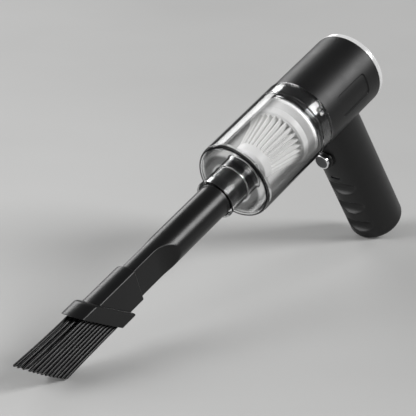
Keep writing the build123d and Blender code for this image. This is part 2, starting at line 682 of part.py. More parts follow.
# Handle shell: closed round grip with a saddle top, finger scoops, button well and socket slot
HANDLE_BORE = HANDLE_RADIUS - HANDLE_WALL
HANDLE_INNER_FRONT = HANDLE_RADIUS - HANDLE_FRONT_WALL
HANDLE_BOTTOM = HANDLE_LENGTH - HANDLE_FLOOR
BEZEL_REAR = BEZEL_FRONT + BEZEL_LENGTH
SCOOP_RADIUS = (GROOVE_HEIGHT**2 / 4 + GROOVE_DEPTH**2) / (2 * GROOVE_DEPTH)
SCOOP_CENTRE = HANDLE_RADIUS - GROOVE_DEPTH + SCOOP_RADIUS
HANDLE_LINE = Axis(spot(HANDLE_STATION), DOWN)
with BuildPart() as handle_shell:
    with BuildSketch(across_handle(0)):
        Circle(HANDLE_RADIUS)
    extrude(amount=HANDLE_LENGTH)
    fillet(handle_shell.edges().group_by(HANDLE_LINE)[-1], HANDLE_ROUND)
    with BuildSketch(across_handle(0)):
        Circle(HANDLE_BORE)
        with Locations((0, HANDLE_INNER_FRONT + HANDLE_RADIUS)):
            Rectangle(2 * HANDLE_RADIUS, 2 * HANDLE_RADIUS, mode=Mode.SUBTRACT)
    extrude(amount=HANDLE_BOTTOM, mode=Mode.SUBTRACT)
    with BuildSketch(station(-BARREL_LENGTH)):
        Circle(BARREL_RADIUS)
    extrude(amount=3 * BARREL_LENGTH, mode=Mode.SUBTRACT)
    for i in range(GROOVE_COUNT):
        with BuildSketch(HANDLE_PROFILE):
            with Locations((SCOOP_CENTRE, GROOVE_FIRST + i * GROOVE_PITCH)):
                Circle(SCOOP_RADIUS)
        extrude(amount=HANDLE_RADIUS, both=True, mode=Mode.SUBTRACT)
    with BuildSketch(station(BEZEL_FRONT - BEZEL_LENGTH, -BUTTON_DROP)):
        Circle(BEZEL_RADIUS)
    extrude(amount=2 * BEZEL_LENGTH + BUTTON_WELL, mode=Mode.SUBTRACT)
    with BuildSketch(facing_handle(HANDLE_INNER_FRONT - OVERCUT, SOCKET_DEPTH)):
        SlotOverall(SOCKET_WIDTH + 2 * SOCKET_FIT, SOCKET_HEIGHT + 2 * SOCKET_FIT)
    extrude(amount=HANDLE_FRONT_WALL + 2 * OVERCUT, mode=Mode.SUBTRACT)
handle_shell.part.label = "handle_shell"
export_step(handle_shell.part, "parts/handle_shell.step")

# Button bezel: ridged ring set in the front of the handle
BEZEL_BORE = BUTTON_RADIUS + BUTTON_CLEARANCE
with BuildPart() as button_bezel:
    with BuildSketch(BUTTON_PROFILE) as ring:
        with Locations(((BEZEL_FRONT + BEZEL_REAR) / 2, (BEZEL_BORE + BEZEL_RADIUS) / 2)):
            Rectangle(BEZEL_LENGTH, BEZEL_RADIUS - BEZEL_BORE)
        for i in range(BEZEL_RIDGES):
            with Locations((BEZEL_FRONT + (i + 1) * BEZEL_RIDGE_PITCH, BEZEL_RADIUS)):
                Rectangle(BEZEL_RIDGE_WIDTH, 2 * BEZEL_RIDGE, mode=Mode.SUBTRACT)
        fillet(corner(ring, BEZEL_FRONT, BEZEL_RADIUS), BEZEL_RIDGE)
    revolve(axis=BUTTON_LINE)
button_bezel.part.label = "button_bezel"
export_step(button_bezel.part, "parts/button_bezel.step")

# Push button: bright cap with a recessed face and a retaining flange
FLANGE_START = BEZEL_REAR + SEAT_GAP
BUTTON_REAR = FLANGE_START + BUTTON_FLANGE_LENGTH
FACE_RADIUS = BUTTON_RADIUS - BUTTON_RIM
with BuildPart() as power_button:
    with BuildSketch(BUTTON_PROFILE) as cap:
        with BuildLine():
            Polyline(
                (BUTTON_FRONT + FACE_THICKNESS, 0),
                (BUTTON_FRONT + FACE_THICKNESS, FACE_RADIUS),
                (BUTTON_FRONT, FACE_RADIUS),
                (BUTTON_FRONT, BUTTON_RADIUS),
                (FLANGE_START, BUTTON_RADIUS),
                (FLANGE_START, BUTTON_RADIUS + BUTTON_FLANGE),
                (BUTTON_REAR, BUTTON_RADIUS + BUTTON_FLANGE),
                (BUTTON_REAR, 0),
                close=True,
            )
        make_face()
        fillet(corner(cap, BUTTON_FRONT, BUTTON_RADIUS), BUTTON_RIM / 2)
    revolve(axis=BUTTON_LINE)
power_button.part.label = "power_button"
export_step(power_button.part, "parts/power_button.step")

# Button face: dished disc in the bright cap
DISH_RADIUS = (FACE_RADIUS**2 + FACE_DISH**2) / (2 * FACE_DISH)
DISH_MIDDLE = FACE_DISH - DISH_RADIUS + sqrt(DISH_RADIUS**2 - FACE_RADIUS**2 / 4)
FACE_FRONT = BUTTON_FRONT + FACE_INSET
with BuildPart() as button_face:
    with BuildSketch(BUTTON_PROFILE):
        with BuildLine():
            dish = ThreePointArc(
                (FACE_FRONT + FACE_DISH, 0),
                (FACE_FRONT + DISH_MIDDLE, FACE_RADIUS / 2),
                (FACE_FRONT, FACE_RADIUS),
            )
            Polyline(
                dish @ 1,
                (BUTTON_FRONT + FACE_THICKNESS, FACE_RADIUS),
                (BUTTON_FRONT + FACE_THICKNESS, 0),
                dish @ 0,
            )
        make_face()
    revolve(axis=BUTTON_LINE)
button_face.part.label = "button_face"
export_step(button_face.part, "parts/button_face.step")

# Switch behind the button, on a board that spans the handle
SWITCH_FRONT = BUTTON_REAR + BUTTON_TRAVEL + SWITCH_GAP
SWITCH_REAR = SWITCH_FRONT + SWITCH_LENGTH
with BuildPart() as switch_body:
    with BuildSketch(station(SWITCH_FRONT, -BUTTON_DROP)):
        RectangleRounded(SWITCH_SIDE, SWITCH_SIDE, SWITCH_GAP)
    extrude(amount=SWITCH_LENGTH)
switch_body.part.label = "switch_body"
export_step(switch_body.part, "parts/switch_body.step")

BOARD_HALF = sqrt(HANDLE_BORE**2 - (SWITCH_BOARD_HEIGHT / 3) ** 2) - FIT_GAP
with BuildPart() as switch_board:
    with BuildSketch(station(SWITCH_REAR, -BUTTON_DROP)):
        Rectangle(2 * BOARD_HALF, SWITCH_BOARD_HEIGHT)
    extrude(amount=BOARD_THICKNESS)
switch_board.part.label = "switch_board"
export_step(switch_board.part, "parts/switch_board.step")

# Charging socket in the slot of the handle, on its board
SOCKET_MOUTH = HANDLE_RADIUS - SOCKET_INSET
SOCKET_ROOM = SOCKET_MOUTH - HANDLE_INNER_FRONT
with BuildPart() as charge_socket:
    with BuildSketch(facing_handle(HANDLE_INNER_FRONT, SOCKET_DEPTH)):
        SlotOverall(SOCKET_WIDTH, SOCKET_HEIGHT)
    extrude(amount=SOCKET_ROOM)
    with BuildSketch(facing_handle(HANDLE_INNER_FRONT + SOCKET_BACK, SOCKET_DEPTH)):
        SlotOverall(SOCKET_WIDTH - 2 * SOCKET_WALL, SOCKET_HEIGHT - 2 * SOCKET_WALL)
    extrude(amount=SOCKET_ROOM, mode=Mode.SUBTRACT)
    with BuildSketch(facing_handle(HANDLE_INNER_FRONT, SOCKET_DEPTH)):
        Rectangle(SOCKET_WIDTH - SOCKET_HEIGHT, SOCKET_TONGUE)
    extrude(amount=SOCKET_ROOM - SOCKET_BACK)
charge_socket.part.label = "charge_socket"
export_step(charge_socket.part, "parts/charge_socket.step")

with BuildPart() as charge_board:
    with BuildSketch(facing_handle(HANDLE_INNER_FRONT, SOCKET_DEPTH)):
        Rectangle(CHARGE_BOARD_WIDTH, CHARGE_BOARD_LENGTH)
    extrude(amount=-BOARD_THICKNESS)
charge_board.part.label = "charge_board"
export_step(charge_board.part, "parts/charge_board.step")

# Two battery cells standing in the handle, linked below and held above
CELL_BOTTOM = HANDLE_BOTTOM - LINK_THICKNESS
CELL_TOP = SOCKET_DEPTH + CELL_DROP
with BuildPart() as battery_cells:
    with BuildSketch(across_handle(CELL_TOP)):
        with Locations((CELL_SPREAD, -CELL_SETBACK), (-CELL_SPREAD, -CELL_SETBACK)):
            Circle(CELL_RADIUS)
    extrude(amount=CELL_BOTTOM - CELL_TOP)
battery_cells.part.label = "battery_cells"
export_step(battery_cells.part, "parts/battery_cells.step")

with BuildPart() as battery_link:
    with BuildSketch(across_handle(CELL_BOTTOM)):
        with Locations((0, -CELL_SETBACK)):
            Rectangle(2 * CELL_SPREAD + CELL_RADIUS, CELL_RADIUS)
    extrude(amount=LINK_THICKNESS)
battery_link.part.label = "battery_link"
export_step(battery_link.part, "parts/battery_link.step")

with BuildPart() as battery_holder:
    with BuildSketch(across_handle(CELL_TOP - HOLDER_THICKNESS)):
        Circle(HANDLE_BORE - FIT_GAP)
        with Locations((0, HANDLE_INNER_FRONT - BOARD_THICKNESS - FIT_GAP + HANDLE_RADIUS)):
            Rectangle(2 * HANDLE_RADIUS, 2 * HANDLE_RADIUS, mode=Mode.SUBTRACT)
        with Locations((0, -CELL_SETBACK)):
            Circle(WIRE_HOLE / 2, mode=Mode.SUBTRACT)
    extrude(amount=HOLDER_THICKNESS)
battery_holder.part.label = "battery_holder"
export_step(battery_holder.part, "parts/battery_holder.step")

# Fan shroud behind the collar
SHROUD_FRONT = COLLAR_PLUG
SHROUD_REAR = SHROUD_FRONT + SHROUD_LENGTH
with BuildPart() as fan_shroud:
    with BuildSketch(PROFILE):
        with BuildLine():
            Polyline(
                (SHROUD_FRONT, SHROUD_INLET),
                (SHROUD_FRONT, BARREL_BORE),
                (SHROUD_REAR, BARREL_BORE),
                (SHROUD_REAR, BARREL_BORE - SHROUD_WALL),
                (SHROUD_FRONT + SHROUD_PLATE, BARREL_BORE - SHROUD_WALL),
                (SHROUD_FRONT + SHROUD_PLATE, SHROUD_INLET),
                close=True,
            )
        make_face()
    revolve(axis=MAIN_LINE)
fan_shroud.part.label = "fan_shroud"
export_step(fan_shroud.part, "parts/fan_shroud.step")

# Impeller: back disc, hub and swept blades
FAN_FRONT = SHROUD_FRONT + SHROUD_PLATE + FAN_GAP
FAN_BACK = FAN_FRONT + BLADE_HEIGHT
BLADE_ROOT = FAN_HUB - BLADE_THICKNESS
BLADE_TIP = FAN_RADIUS - 2 * BLADE_THICKNESS
SHAFT_FRONT = FAN_FRONT + SHAFT_OVERHANG
with BuildPart() as impeller:
    with BuildSketch(station(FAN_BACK)):
        Circle(FAN_RADIUS)
    extrude(amount=FAN_DISC)
    with BuildSketch(station(FAN_FRONT)):
        Circle(FAN_HUB)
    extrude(amount=HUB_LENGTH)
    with BuildSketch(station(FAN_FRONT)):
        with BuildLine(mode=Mode.PRIVATE) as vane:
            RadiusArc((BLADE_ROOT, 0), (BLADE_TIP, BLADE_SWEEP), BLADE_CURVE)
        with PolarLocations(0, BLADE_COUNT):
            SlotArc(vane.edges()[0], BLADE_THICKNESS)
    extrude(amount=BLADE_HEIGHT)
    with BuildSketch(station(SHAFT_FRONT)):
        Circle(SHAFT_RADIUS)
    extrude(amount=HUB_LENGTH, mode=Mode.SUBTRACT)
impeller.part.label = "impeller"
export_step(impeller.part, "parts/impeller.step")

# Motor: can with its boss, running shaft, mounting plate and terminals
MOTOR_FRONT = SHROUD_REAR
MOTOR_REAR = MOTOR_FRONT + MOTOR_LENGTH
with BuildPart() as motor_can:
    with BuildSketch(station(MOTOR_FRONT)):
        Circle(MOTOR_RADIUS)
    extrude(amount=MOTOR_LENGTH)
    with BuildSketch(station(MOTOR_FRONT)):
        Circle(MOTOR_BOSS)
    extrude(amount=-MOTOR_BOSS_LENGTH)
    with BuildSketch(station(MOTOR_FRONT - MOTOR_BOSS_LENGTH)):
        Circle(SHAFT_RADIUS + SHAFT_CLEARANCE)
    extrude(amount=MOTOR_LENGTH + MOTOR_BOSS_LENGTH, mode=Mode.SUBTRACT)
motor_can.part.label = "motor_can"
export_step(motor_can.part, "parts/motor_can.step")

with BuildPart() as motor_shaft:
    with BuildSketch(station(SHAFT_FRONT)):
        Circle(SHAFT_RADIUS)
    extrude(amount=MOTOR_REAR + SHAFT_OVERHANG - SHAFT_FRONT)
motor_shaft.part.label = "motor_shaft"
export_step(motor_shaft.part, "parts/motor_shaft.step")

with BuildPart() as motor_mount:
    with BuildSketch(station(MOTOR_FRONT)):
        Circle(BARREL_BORE)
        Circle(MOTOR_RADIUS, mode=Mode.SUBTRACT)
        with PolarLocations((BARREL_BORE + MOTOR_RADIUS) / 2, MOUNT_PORTS):
            Circle(MOUNT_PORT_RADIUS, mode=Mode.SUBTRACT)
    extrude(amount=MOUNT_THICKNESS)
motor_mount.part.label = "motor_mount"
export_step(motor_mount.part, "parts/motor_mount.step")

with BuildPart() as motor_terminals:
    with BuildSketch(station(MOTOR_REAR)):
        with Locations((TERMINAL_SPREAD, 0), (-TERMINAL_SPREAD, 0)):
            Rectangle(TERMINAL_THICKNESS, TERMINAL_WIDTH)
    extrude(amount=TERMINAL_LENGTH)
motor_terminals.part.label = "motor_terminals"
export_step(motor_terminals.part, "parts/motor_terminals.step")
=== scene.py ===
"""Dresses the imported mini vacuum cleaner: finer outer pieces, finishes, a plain studio and the camera.

Sizes are in millimetres and become metres where a piece is placed. Stations run along the main axis from
the seam between cup and barrel, positive toward the rear. The grip has its own depth along its axis.
"""
import json
import logging
import random
from dataclasses import dataclass
from enum import Enum
from math import asin, atan, ceil, copysign, cos, hypot, pi, radians, sin, sqrt, tan
from typing import Sequence

import bmesh
import bpy
from mathutils import Matrix, Vector


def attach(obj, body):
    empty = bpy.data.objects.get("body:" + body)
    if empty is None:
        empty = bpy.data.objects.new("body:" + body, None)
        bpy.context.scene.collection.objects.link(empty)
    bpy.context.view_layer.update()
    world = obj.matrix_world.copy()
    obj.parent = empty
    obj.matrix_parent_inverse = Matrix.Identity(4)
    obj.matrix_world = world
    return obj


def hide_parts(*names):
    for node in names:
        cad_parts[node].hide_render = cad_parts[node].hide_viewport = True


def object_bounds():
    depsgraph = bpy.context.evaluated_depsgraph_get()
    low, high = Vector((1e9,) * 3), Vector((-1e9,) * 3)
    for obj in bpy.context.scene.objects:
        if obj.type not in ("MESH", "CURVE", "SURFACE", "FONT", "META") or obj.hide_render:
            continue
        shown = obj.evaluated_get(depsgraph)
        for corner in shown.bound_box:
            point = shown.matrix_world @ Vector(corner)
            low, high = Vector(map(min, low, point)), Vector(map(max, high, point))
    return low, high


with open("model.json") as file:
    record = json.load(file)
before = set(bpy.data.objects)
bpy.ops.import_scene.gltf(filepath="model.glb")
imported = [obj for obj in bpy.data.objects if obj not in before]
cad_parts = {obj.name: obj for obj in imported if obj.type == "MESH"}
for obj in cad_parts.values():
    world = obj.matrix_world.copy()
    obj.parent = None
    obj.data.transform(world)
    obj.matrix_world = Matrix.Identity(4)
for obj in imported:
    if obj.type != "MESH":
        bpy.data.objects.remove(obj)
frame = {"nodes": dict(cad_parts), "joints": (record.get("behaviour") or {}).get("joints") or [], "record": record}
CAD_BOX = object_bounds()

MM = 0.001
FLOOR = CAD_BOX[0][2]  # height of the solids' lowest point, in metres
WELD = 1e-5  # points closer than this many millimetres become one
SHARP = 35.0  # edges sharper than this many degrees stay crisp
NOISE_BAND = (0.3, 0.7)  # most values of a noise lie in this band
IMAGE_SIDE = 416  # the photograph's width in pixels
log = logging.getLogger("mini_vacuum")

Ring = list[Vector]
Colour = tuple[float, float, float]
Spot = tuple[float, float, float]
Mesh = bmesh.types.BMesh
Piece = bpy.types.Object
Material = bpy.types.Material
Node = bpy.types.Node
Socket = bpy.types.NodeSocket


class Body(Enum):
    """The bodies that move apart."""

    BRUSH = "brush"
    NOZZLE = "nozzle"
    CUP = "cup"
    HOUSING = "housing"
    FILTER = "filter"


class Slot(Enum):
    """The record's material slots, named for the finer pieces."""

    SHELL = "black_shell"
    NOZZLE = "black_nozzle"
    BRISTLE = "bristle"
    CUP = "clear_cup"
    CAP = "white_cap"
    FLEECE = "filter_paper"


class Pattern(Enum):
    """What a finish is figured with: a texture, its output and its inputs."""

    FIBRES = ("ShaderNodeTexNoise", "Fac", {"Detail": 4.0})
    CELLS = ("ShaderNodeTexVoronoi", "Distance", {})
    WEAVE = ("ShaderNodeTexBrick", "Fac", {})


@dataclass(frozen=True)
class Placement:
    """Where a piece drawn in millimetres stands: an origin in metres and three directions."""

    origin: Vector
    across: Vector
    upright: Vector
    along: Vector

    def matrix(self) -> Matrix:
        """The matrix from this placement's millimetres to the row frame's metres."""
        axes = [axis * MM for axis in (self.across, self.upright, self.along)]
        matrix = Matrix(axes).transposed().to_4x4()
        matrix.translation = self.origin
        return matrix


class Layout:
    """Placements read from the frame: the main axis and the grip."""

    def __init__(self) -> None:
        """Reads the fan's hinge for the main axis and the foot's mount for the grip."""
        hinge = next(j for j in frame["joints"] if j["name"] == "fan_spin")
        foot = next(m for m in frame["record"]["mounts"] if m["name"] == "handle_base")
        side = Vector((1, 0, 0))
        along = Vector(hinge["axis"]).normalized()
        start = Vector(hinge["pos_m"])
        barrel = frame["nodes"]["motor_barrel"].data.vertices
        seam = start + along * min((v.co - start).dot(along) for v in barrel)
        up = side.cross(along)
        self.main = Placement(seam, side, up, along)
        down = Vector(foot["axis"]).normalized()
        base = Vector(foot["pos_m"])
        rise = (base - seam).dot(up) / down.dot(up)
        self.grip = Placement(base - down * rise, side, down.cross(side), down)
        self.grip_length = rise / MM
        self.lean = asin(down.dot(along))


def smooth_step(low: float, high: float, value: float) -> float:
    """A soft rise from 0 at low to 1 at high."""
    share = min(max((value - low) / (high - low), 0.0), 1.0)
    return share * share * (3 - 2 * share)


def soft_min(a: float, b: float, blend: float) -> float:
    """The smaller of two lengths, a little less where they differ by less than blend."""
    near = max(blend - abs(a - b), 0.0) / blend
    return min(a, b) - near * near * blend / 4


def turns(count: int, shift: float = 0.0) -> list[float]:
    """Turns spaced evenly round a ring, in radians, shifted by a part of their spacing."""
    return [2 * pi * (j + shift) / count for j in range(count)]


def round_ended(low: float, high: float, half: float, bends: Sequence[float]) -> list[tuple[float, float]]:
    """The outline of a round-ended bar; low and high are the middles of its round ends."""
    return [(half * cos(b) + (high if cos(b) > 0 else low), half * sin(b)) for b in bends]


def rounded(corners: Sequence[tuple[Sequence[float], float]], steps: int = 6) -> list[Vector]:
    """Rounds the corners of a closed outline.

    Args:
        corners: Each corner with how far its rounding reaches along both of its sides.
        steps: Steps per rounding.

    Returns:
        The outline's points in order.
    """
    places = [Vector(place) for place, _ in corners]
    points: list[Vector] = []
    for i, corner in enumerate(places):
        reach = corners[i][1]
        if reach <= 0:
            points.append(corner)
            continue
        before = places[i - 1] - corner
        after = places[(i + 1) % len(places)] - corner
        start = corner + before * (reach / before.length)
        end = corner + after * (reach / after.length)
        for k in range(steps + 1):
            share = k / steps
            points.append(start.lerp(corner, share).lerp(corner.lerp(end, share), share))
    return points


def densified(outline: Sequence[Vector], step: float) -> list[Vector]:
    """A closed outline with its long stretches divided into steps."""
    points: list[Vector] = []
    for i, point in enumerate(outline):
        following = outline[(i + 1) % len(outline)]
        parts = max(1, ceil((following - point).length / step))
        points.extend(point.lerp(following, k / parts) for k in range(parts))
    return points


def turned(outline: Sequence[Vector], count: int) -> list[Ring]:
    """Rings of an outline of (station, radius) points turned about the main axis."""
    around = turns(count)
    return [[Vector((radius * cos(t), radius * sin(t), station)) for t in around]
            for station, radius in outline]


def fill(mesh: Mesh, rings: Sequence[Ring], closed: bool) -> None:
    """Adds rings to a mesh, with faces between neighbours.

    Args:
        mesh: The mesh that takes them.
        rings: Rings with the same number of points.
        closed: Whether the last ring joins the first; if not, both ends get flat caps.
    """
    loops = [[mesh.verts.new(point) for point in ring] for ring in rings]
    pairs = list(zip(loops, loops[1:]))
    if closed:
        pairs.append((loops[-1], loops[0]))
    for first, second in pairs:
        for j in range(len(first)):
            k = (j + 1) % len(first)
            mesh.faces.new((first[j], first[k], second[k], second[j]))
    if not closed:
        mesh.faces.new(loops[0])
        mesh.faces.new(loops[-1])


def skin(rings: Sequence[Ring], closed: bool) -> Mesh:
    """A new mesh of rings, as fill adds them, in which points on one spot are merged."""
    mesh = bmesh.new()
    fill(mesh, rings, closed)
    bmesh.ops.remove_doubles(mesh, verts=mesh.verts, dist=WELD)
    return mesh


def flat_sided(sections: Sequence[Vector], soft: float, count: int = 180) -> Mesh:
    """A closed skin of round rings pressed flat on both sides.

    Args:
        sections: Each ring's station, radius, half width over the flats and slant (station lost per height).
        soft: How wide the rounding between flat and round is.
        count: Points round a ring.

    Returns:
        The new mesh.
    """
    rings = []
    for station, radius, flat, slant in sections:
        ring = []
        for turn in turns(count):
            x, height = radius * cos(turn), radius * sin(turn)
            x = copysign(soft_min(abs(x), flat, soft), x)
            ring.append(Vector((x, height, station - slant * height)))
        rings.append(ring)
    return skin(rings, closed=True)


def linked(name: str, mesh: Mesh) -> Piece:
    """A piece of the scene made from a mesh, which is used up."""
    data = bpy.data.meshes.new(name)
    mesh.to_mesh(data)
    mesh.free()
    piece = bpy.data.objects.new(name, data)
    bpy.context.scene.collection.objects.link(piece)
    return piece


class Recipe:
    """A material in the making: its node tree, with short ways to add and join nodes."""

    def __init__(self, name: str) -> None:
        """Starts a material with its own shader."""
        self.material = bpy.data.materials.new(name)
        self.material.use_nodes = True
        self.tree = self.material.node_tree
        self.shader = self.tree.nodes["Principled BSDF"]
        self.output = self.tree.nodes["Material Output"]
        self.place = self.node("ShaderNodeTexCoord").outputs["Object"]

    def node(self, kind: str, **inputs: object) -> Node:
        """Adds a node and sets its inputs by name; spaces in input names are written as underscores."""
        made = self.tree.nodes.new(kind)
        for name, value in inputs.items():
            self.feed(made.inputs[name.replace("_", " ")], value)
        return made

    def feed(self, socket: Socket, value: object) -> None:
        """Links an output to a socket, or sets a plain value on it."""
        if isinstance(value, Socket):
            self.tree.links.new(value, socket)
        else:
            socket.default_value = value

    def set(self, **inputs: object) -> None:
        """Sets or links inputs of the shader."""
        for name, value in inputs.items():
            self.feed(self.shader.inputs[name.replace("_", " ")], value)

    def attribute(self, name: str) -> Socket:
        """A value stored on the mesh's points."""
        made = self.node("ShaderNodeAttribute")
        made.attribute_name = name
        return made.outputs["Fac"]

    def noise(self, scale: float, detail: float = 3.0) -> Socket:
        """Cloudy noise in the row frame; scale is blobs per metre."""
        return self.node("ShaderNodeTexNoise", Vector=self.place, Scale=scale, Detail=detail).outputs["Fac"]

    def figure(self, pattern: Pattern, scale: float, share: float) -> Socket:
        """A pattern in the row frame; from front to rear only a share of its scale is left."""
        kind, output, inputs = pattern.value
        place = self.node("ShaderNodeMapping", Vector=self.place, Scale=(1.0, share, 1.0)).outputs["Vector"]
        return self.node(kind, Vector=place, Scale=scale, **inputs).outputs[output]

    def ranged(self, value: Socket, start: float, end: float, low: float, high: float) -> Node:
        """Maps a value from the range between start and end to the range between low and high."""
        limits = {"From_Min": start, "From_Max": end, "To_Min": low, "To_Max": high}
        return self.node("ShaderNodeMapRange", Value=value, **limits)

    def spread(self, value: Socket, low: float, high: float) -> Socket:
        """Maps the middle of a noise to the range from low to high."""
        return self.ranged(value, *NOISE_BAND, low, high).outputs["Result"]

    def rise(self, value: Socket, low: float, high: float, top: float) -> Socket:
        """A soft rise of a value from 0 at low to top at high."""
        made = self.ranged(value, low, high, 0.0, top)
        made.interpolation_type = "SMOOTHSTEP"
        return made.outputs["Result"]

    def larger(self, first: Socket, second: Socket) -> Socket:
        """The larger of two values."""
        made = self.node("ShaderNodeMath")
        made.operation = "MAXIMUM"
        self.feed(made.inputs[0], first)
        self.feed(made.inputs[1], second)
        return made.outputs["Value"]

    def shades(self, value: Socket, dark: Colour, light: Colour) -> Socket:
        """A colour between two shades."""
        ramp = self.node("ShaderNodeValToRGB", Fac=value)
        for element, place, colour in zip(ramp.color_ramp.elements, NOISE_BAND, (dark, light)):
            element.position = place
            element.color = (*colour, 1.0)
        return ramp.outputs["Color"]

    def blend(self, share: Socket, first: Colour, second: Colour) -> Socket:
        """Blends two colours; a share of 1 gives the second alone."""
        made = self.node("ShaderNodeMixRGB", Fac=share, Color1=(*first, 1.0), Color2=(*second, 1.0))
        return made.outputs["Color"]

    def mixed(self, share: Socket, first: Node, second: Node) -> Node:
        """Mixes two shaders; a share of 1 shows the second alone."""
        mix = self.node("ShaderNodeMixShader", Fac=share)
        self.feed(mix.inputs[1], first.outputs[0])
        self.feed(mix.inputs[2], second.outputs[0])
        return mix

    def bump(self, height: Socket, depth: float) -> None:
        """Presses a height into the surface; depth is in millimetres."""
        made = self.node("ShaderNodeBump", Height=height, Distance=depth * MM, Strength=1.0)
        self.set(Normal=made.outputs["Normal"])


@dataclass(frozen=True)
class Moulded:
    """Moulded plastic or rubber: a colour that drifts a little, a fine grain and uneven gloss."""

    name: str
    dark: Colour
    light: Colour
    roughness: float
    gloss_drift: float = 0.025
    grain: float = 1800.0
    grain_depth: float = 0.003
    coat: float = 0.0
    specular: float = 0.5
    drift_scale: float = 34.0
    gloss_scale: float = 90.0
    grain_detail: float = 2.0
    coat_roughness: float = 0.08

    def material(self) -> Material:
        """Builds the material."""
        recipe = Recipe(self.name)
        drift = recipe.noise(self.drift_scale)
        low, high = self.roughness - self.gloss_drift, self.roughness + self.gloss_drift
        gloss = recipe.spread(recipe.noise(self.gloss_scale), low, high)
        recipe.set(Base_Color=recipe.shades(drift, self.dark, self.light), Roughness=gloss)
        recipe.set(Coat_Weight=self.coat, Coat_Roughness=self.coat_roughness)
        recipe.set(Specular_IOR_Level=self.specular)
        recipe.bump(recipe.noise(self.grain, self.grain_detail), self.grain_depth)
        return recipe.material


@dataclass(frozen=True)
class ClearPlastic:
    """Polished clear plastic with painted shade: a near-black shader where its wall is seen edge on,
    and where the mesh marks the wall as bending light away.

    On its even stretch, the pane, sight goes straight through, and painted shade dims it toward the sides.
    """

    name: str = "clear_polished_plastic"
    clear: Colour = (0.93, 0.935, 0.935)
    index: float = 1.45
    gloss: float = 0.06
    haze: tuple[float, float] = (0.012, 0.03)
    haze_scale: float = 60.0
    wave_scale: float = 28.0
    wave_detail: float = 1.0
    wave_depth: float = 0.003
    # Painted shade: the near-black colour of the shader that darkens edge-on and marked parts of the wall.
    edge: Colour = (0.005, 0.005, 0.0055)
    painted_edge_roughness: float = 0.15
    painted_edge_span: tuple[float, float] = (0.58, 0.76)
    painted_edge_share: float = 0.97
    pane: Colour = (0.99, 0.99, 0.99)
    # Painted shade: the see-through colour that the pane's sides darken to.
    painted_dim: Colour = (0.6, 0.6, 0.6)
    painted_dim_span: tuple[float, float] = (0.35, 0.5)
    shine_roughness: float = 0.03
    shine_span: tuple[float, float] = (0.3, 0.76)
    shine_share: float = 0.24

    def material(self) -> Material:
        """Builds the material."""
        recipe = Recipe(self.name)
        haze = recipe.spread(recipe.noise(self.haze_scale), *self.haze)
        recipe.set(Base_Color=(*self.clear, 1.0), Roughness=haze, IOR=self.index, Transmission_Weight=1.0)
        recipe.set(Specular_Tint=(self.gloss, self.gloss, self.gloss, 1.0))
        recipe.bump(recipe.noise(self.wave_scale, self.wave_detail), self.wave_depth)
        # Painted shade: a near-black shader takes over where the wall is seen edge on, and where the mesh's bend
        # value marks it.
        facing = recipe.node("ShaderNodeLayerWeight", Blend=0.5).outputs["Facing"]
        rim = recipe.rise(facing, *self.painted_edge_span, self.painted_edge_share)
        wall = recipe.node("ShaderNodeBsdfPrincipled", Base_Color=(*self.edge, 1.0),
                           Roughness=self.painted_edge_roughness, Specular_IOR_Level=self.gloss)
        # Painted shade: the pane's see-through colour darkens toward its sides.
        painted_dim_share = recipe.rise(facing, *self.painted_dim_span, 1.0)
        sight = recipe.node("ShaderNodeBsdfTransparent", Color=recipe.blend(painted_dim_share, self.pane, self.painted_dim))
        shine = recipe.node("ShaderNodeBsdfGlossy", Color=(1.0,) * 4, Roughness=self.shine_roughness)
        sheen = recipe.rise(facing, *self.shine_span, self.shine_share)
        pane = recipe.mixed(sheen, sight, shine)
        clear = recipe.mixed(recipe.attribute("pane"), recipe.shader, pane)
        # Painted shade: the bend value spreads the near-black shader over the marked ring and front face.
        seen = recipe.mixed(recipe.larger(rim, recipe.attribute("bend")), clear, wall)
        shadow = recipe.node("ShaderNodeBsdfTransparent", Color=(*self.pane, 1.0))
        rays = recipe.node("ShaderNodeLightPath")
        lit = recipe.mixed(rays.outputs["Is Shadow Ray"], seen, shadow)
        recipe.feed(recipe.output.inputs["Surface"], lit.outputs[0])
        return recipe.material


@dataclass(frozen=True)
class Figured:
    """A finish whose colour, gloss and relief follow one pattern, such as fleece, foam or a board."""

    name: str
    low: Colour
    high: Colour
    roughness: float
    pattern: Pattern = Pattern.FIBRES
    scale: float = 2200.0
    share: float = 1.0
    depth: float = 0.004
    gloss_drift: float = 0.0
    metallic: float = 0.0
    sheen: float = 0.0
    specular: float = 0.5
    coat: float = 0.0

    def material(self) -> Material:
        """Builds the material."""
        recipe = Recipe(self.name)
        figure = recipe.figure(self.pattern, self.scale, self.share)
        smooth, rough = self.roughness * (1 - self.gloss_drift), self.roughness * (1 + self.gloss_drift)
        recipe.set(Base_Color=recipe.shades(figure, self.low, self.high))
        recipe.set(Roughness=recipe.spread(figure, smooth, rough), Metallic=self.metallic)
        recipe.set(Sheen_Weight=self.sheen, Specular_IOR_Level=self.specular, Coat_Weight=self.coat)
        recipe.bump(figure, self.depth)
        return recipe.material


@dataclass(frozen=True)
class Metal(Figured):
    """Drawn or plated metal with fine lines from front to rear."""

    share: float = 0.08
    gloss_drift: float = 0.2
    metallic: float = 1.0


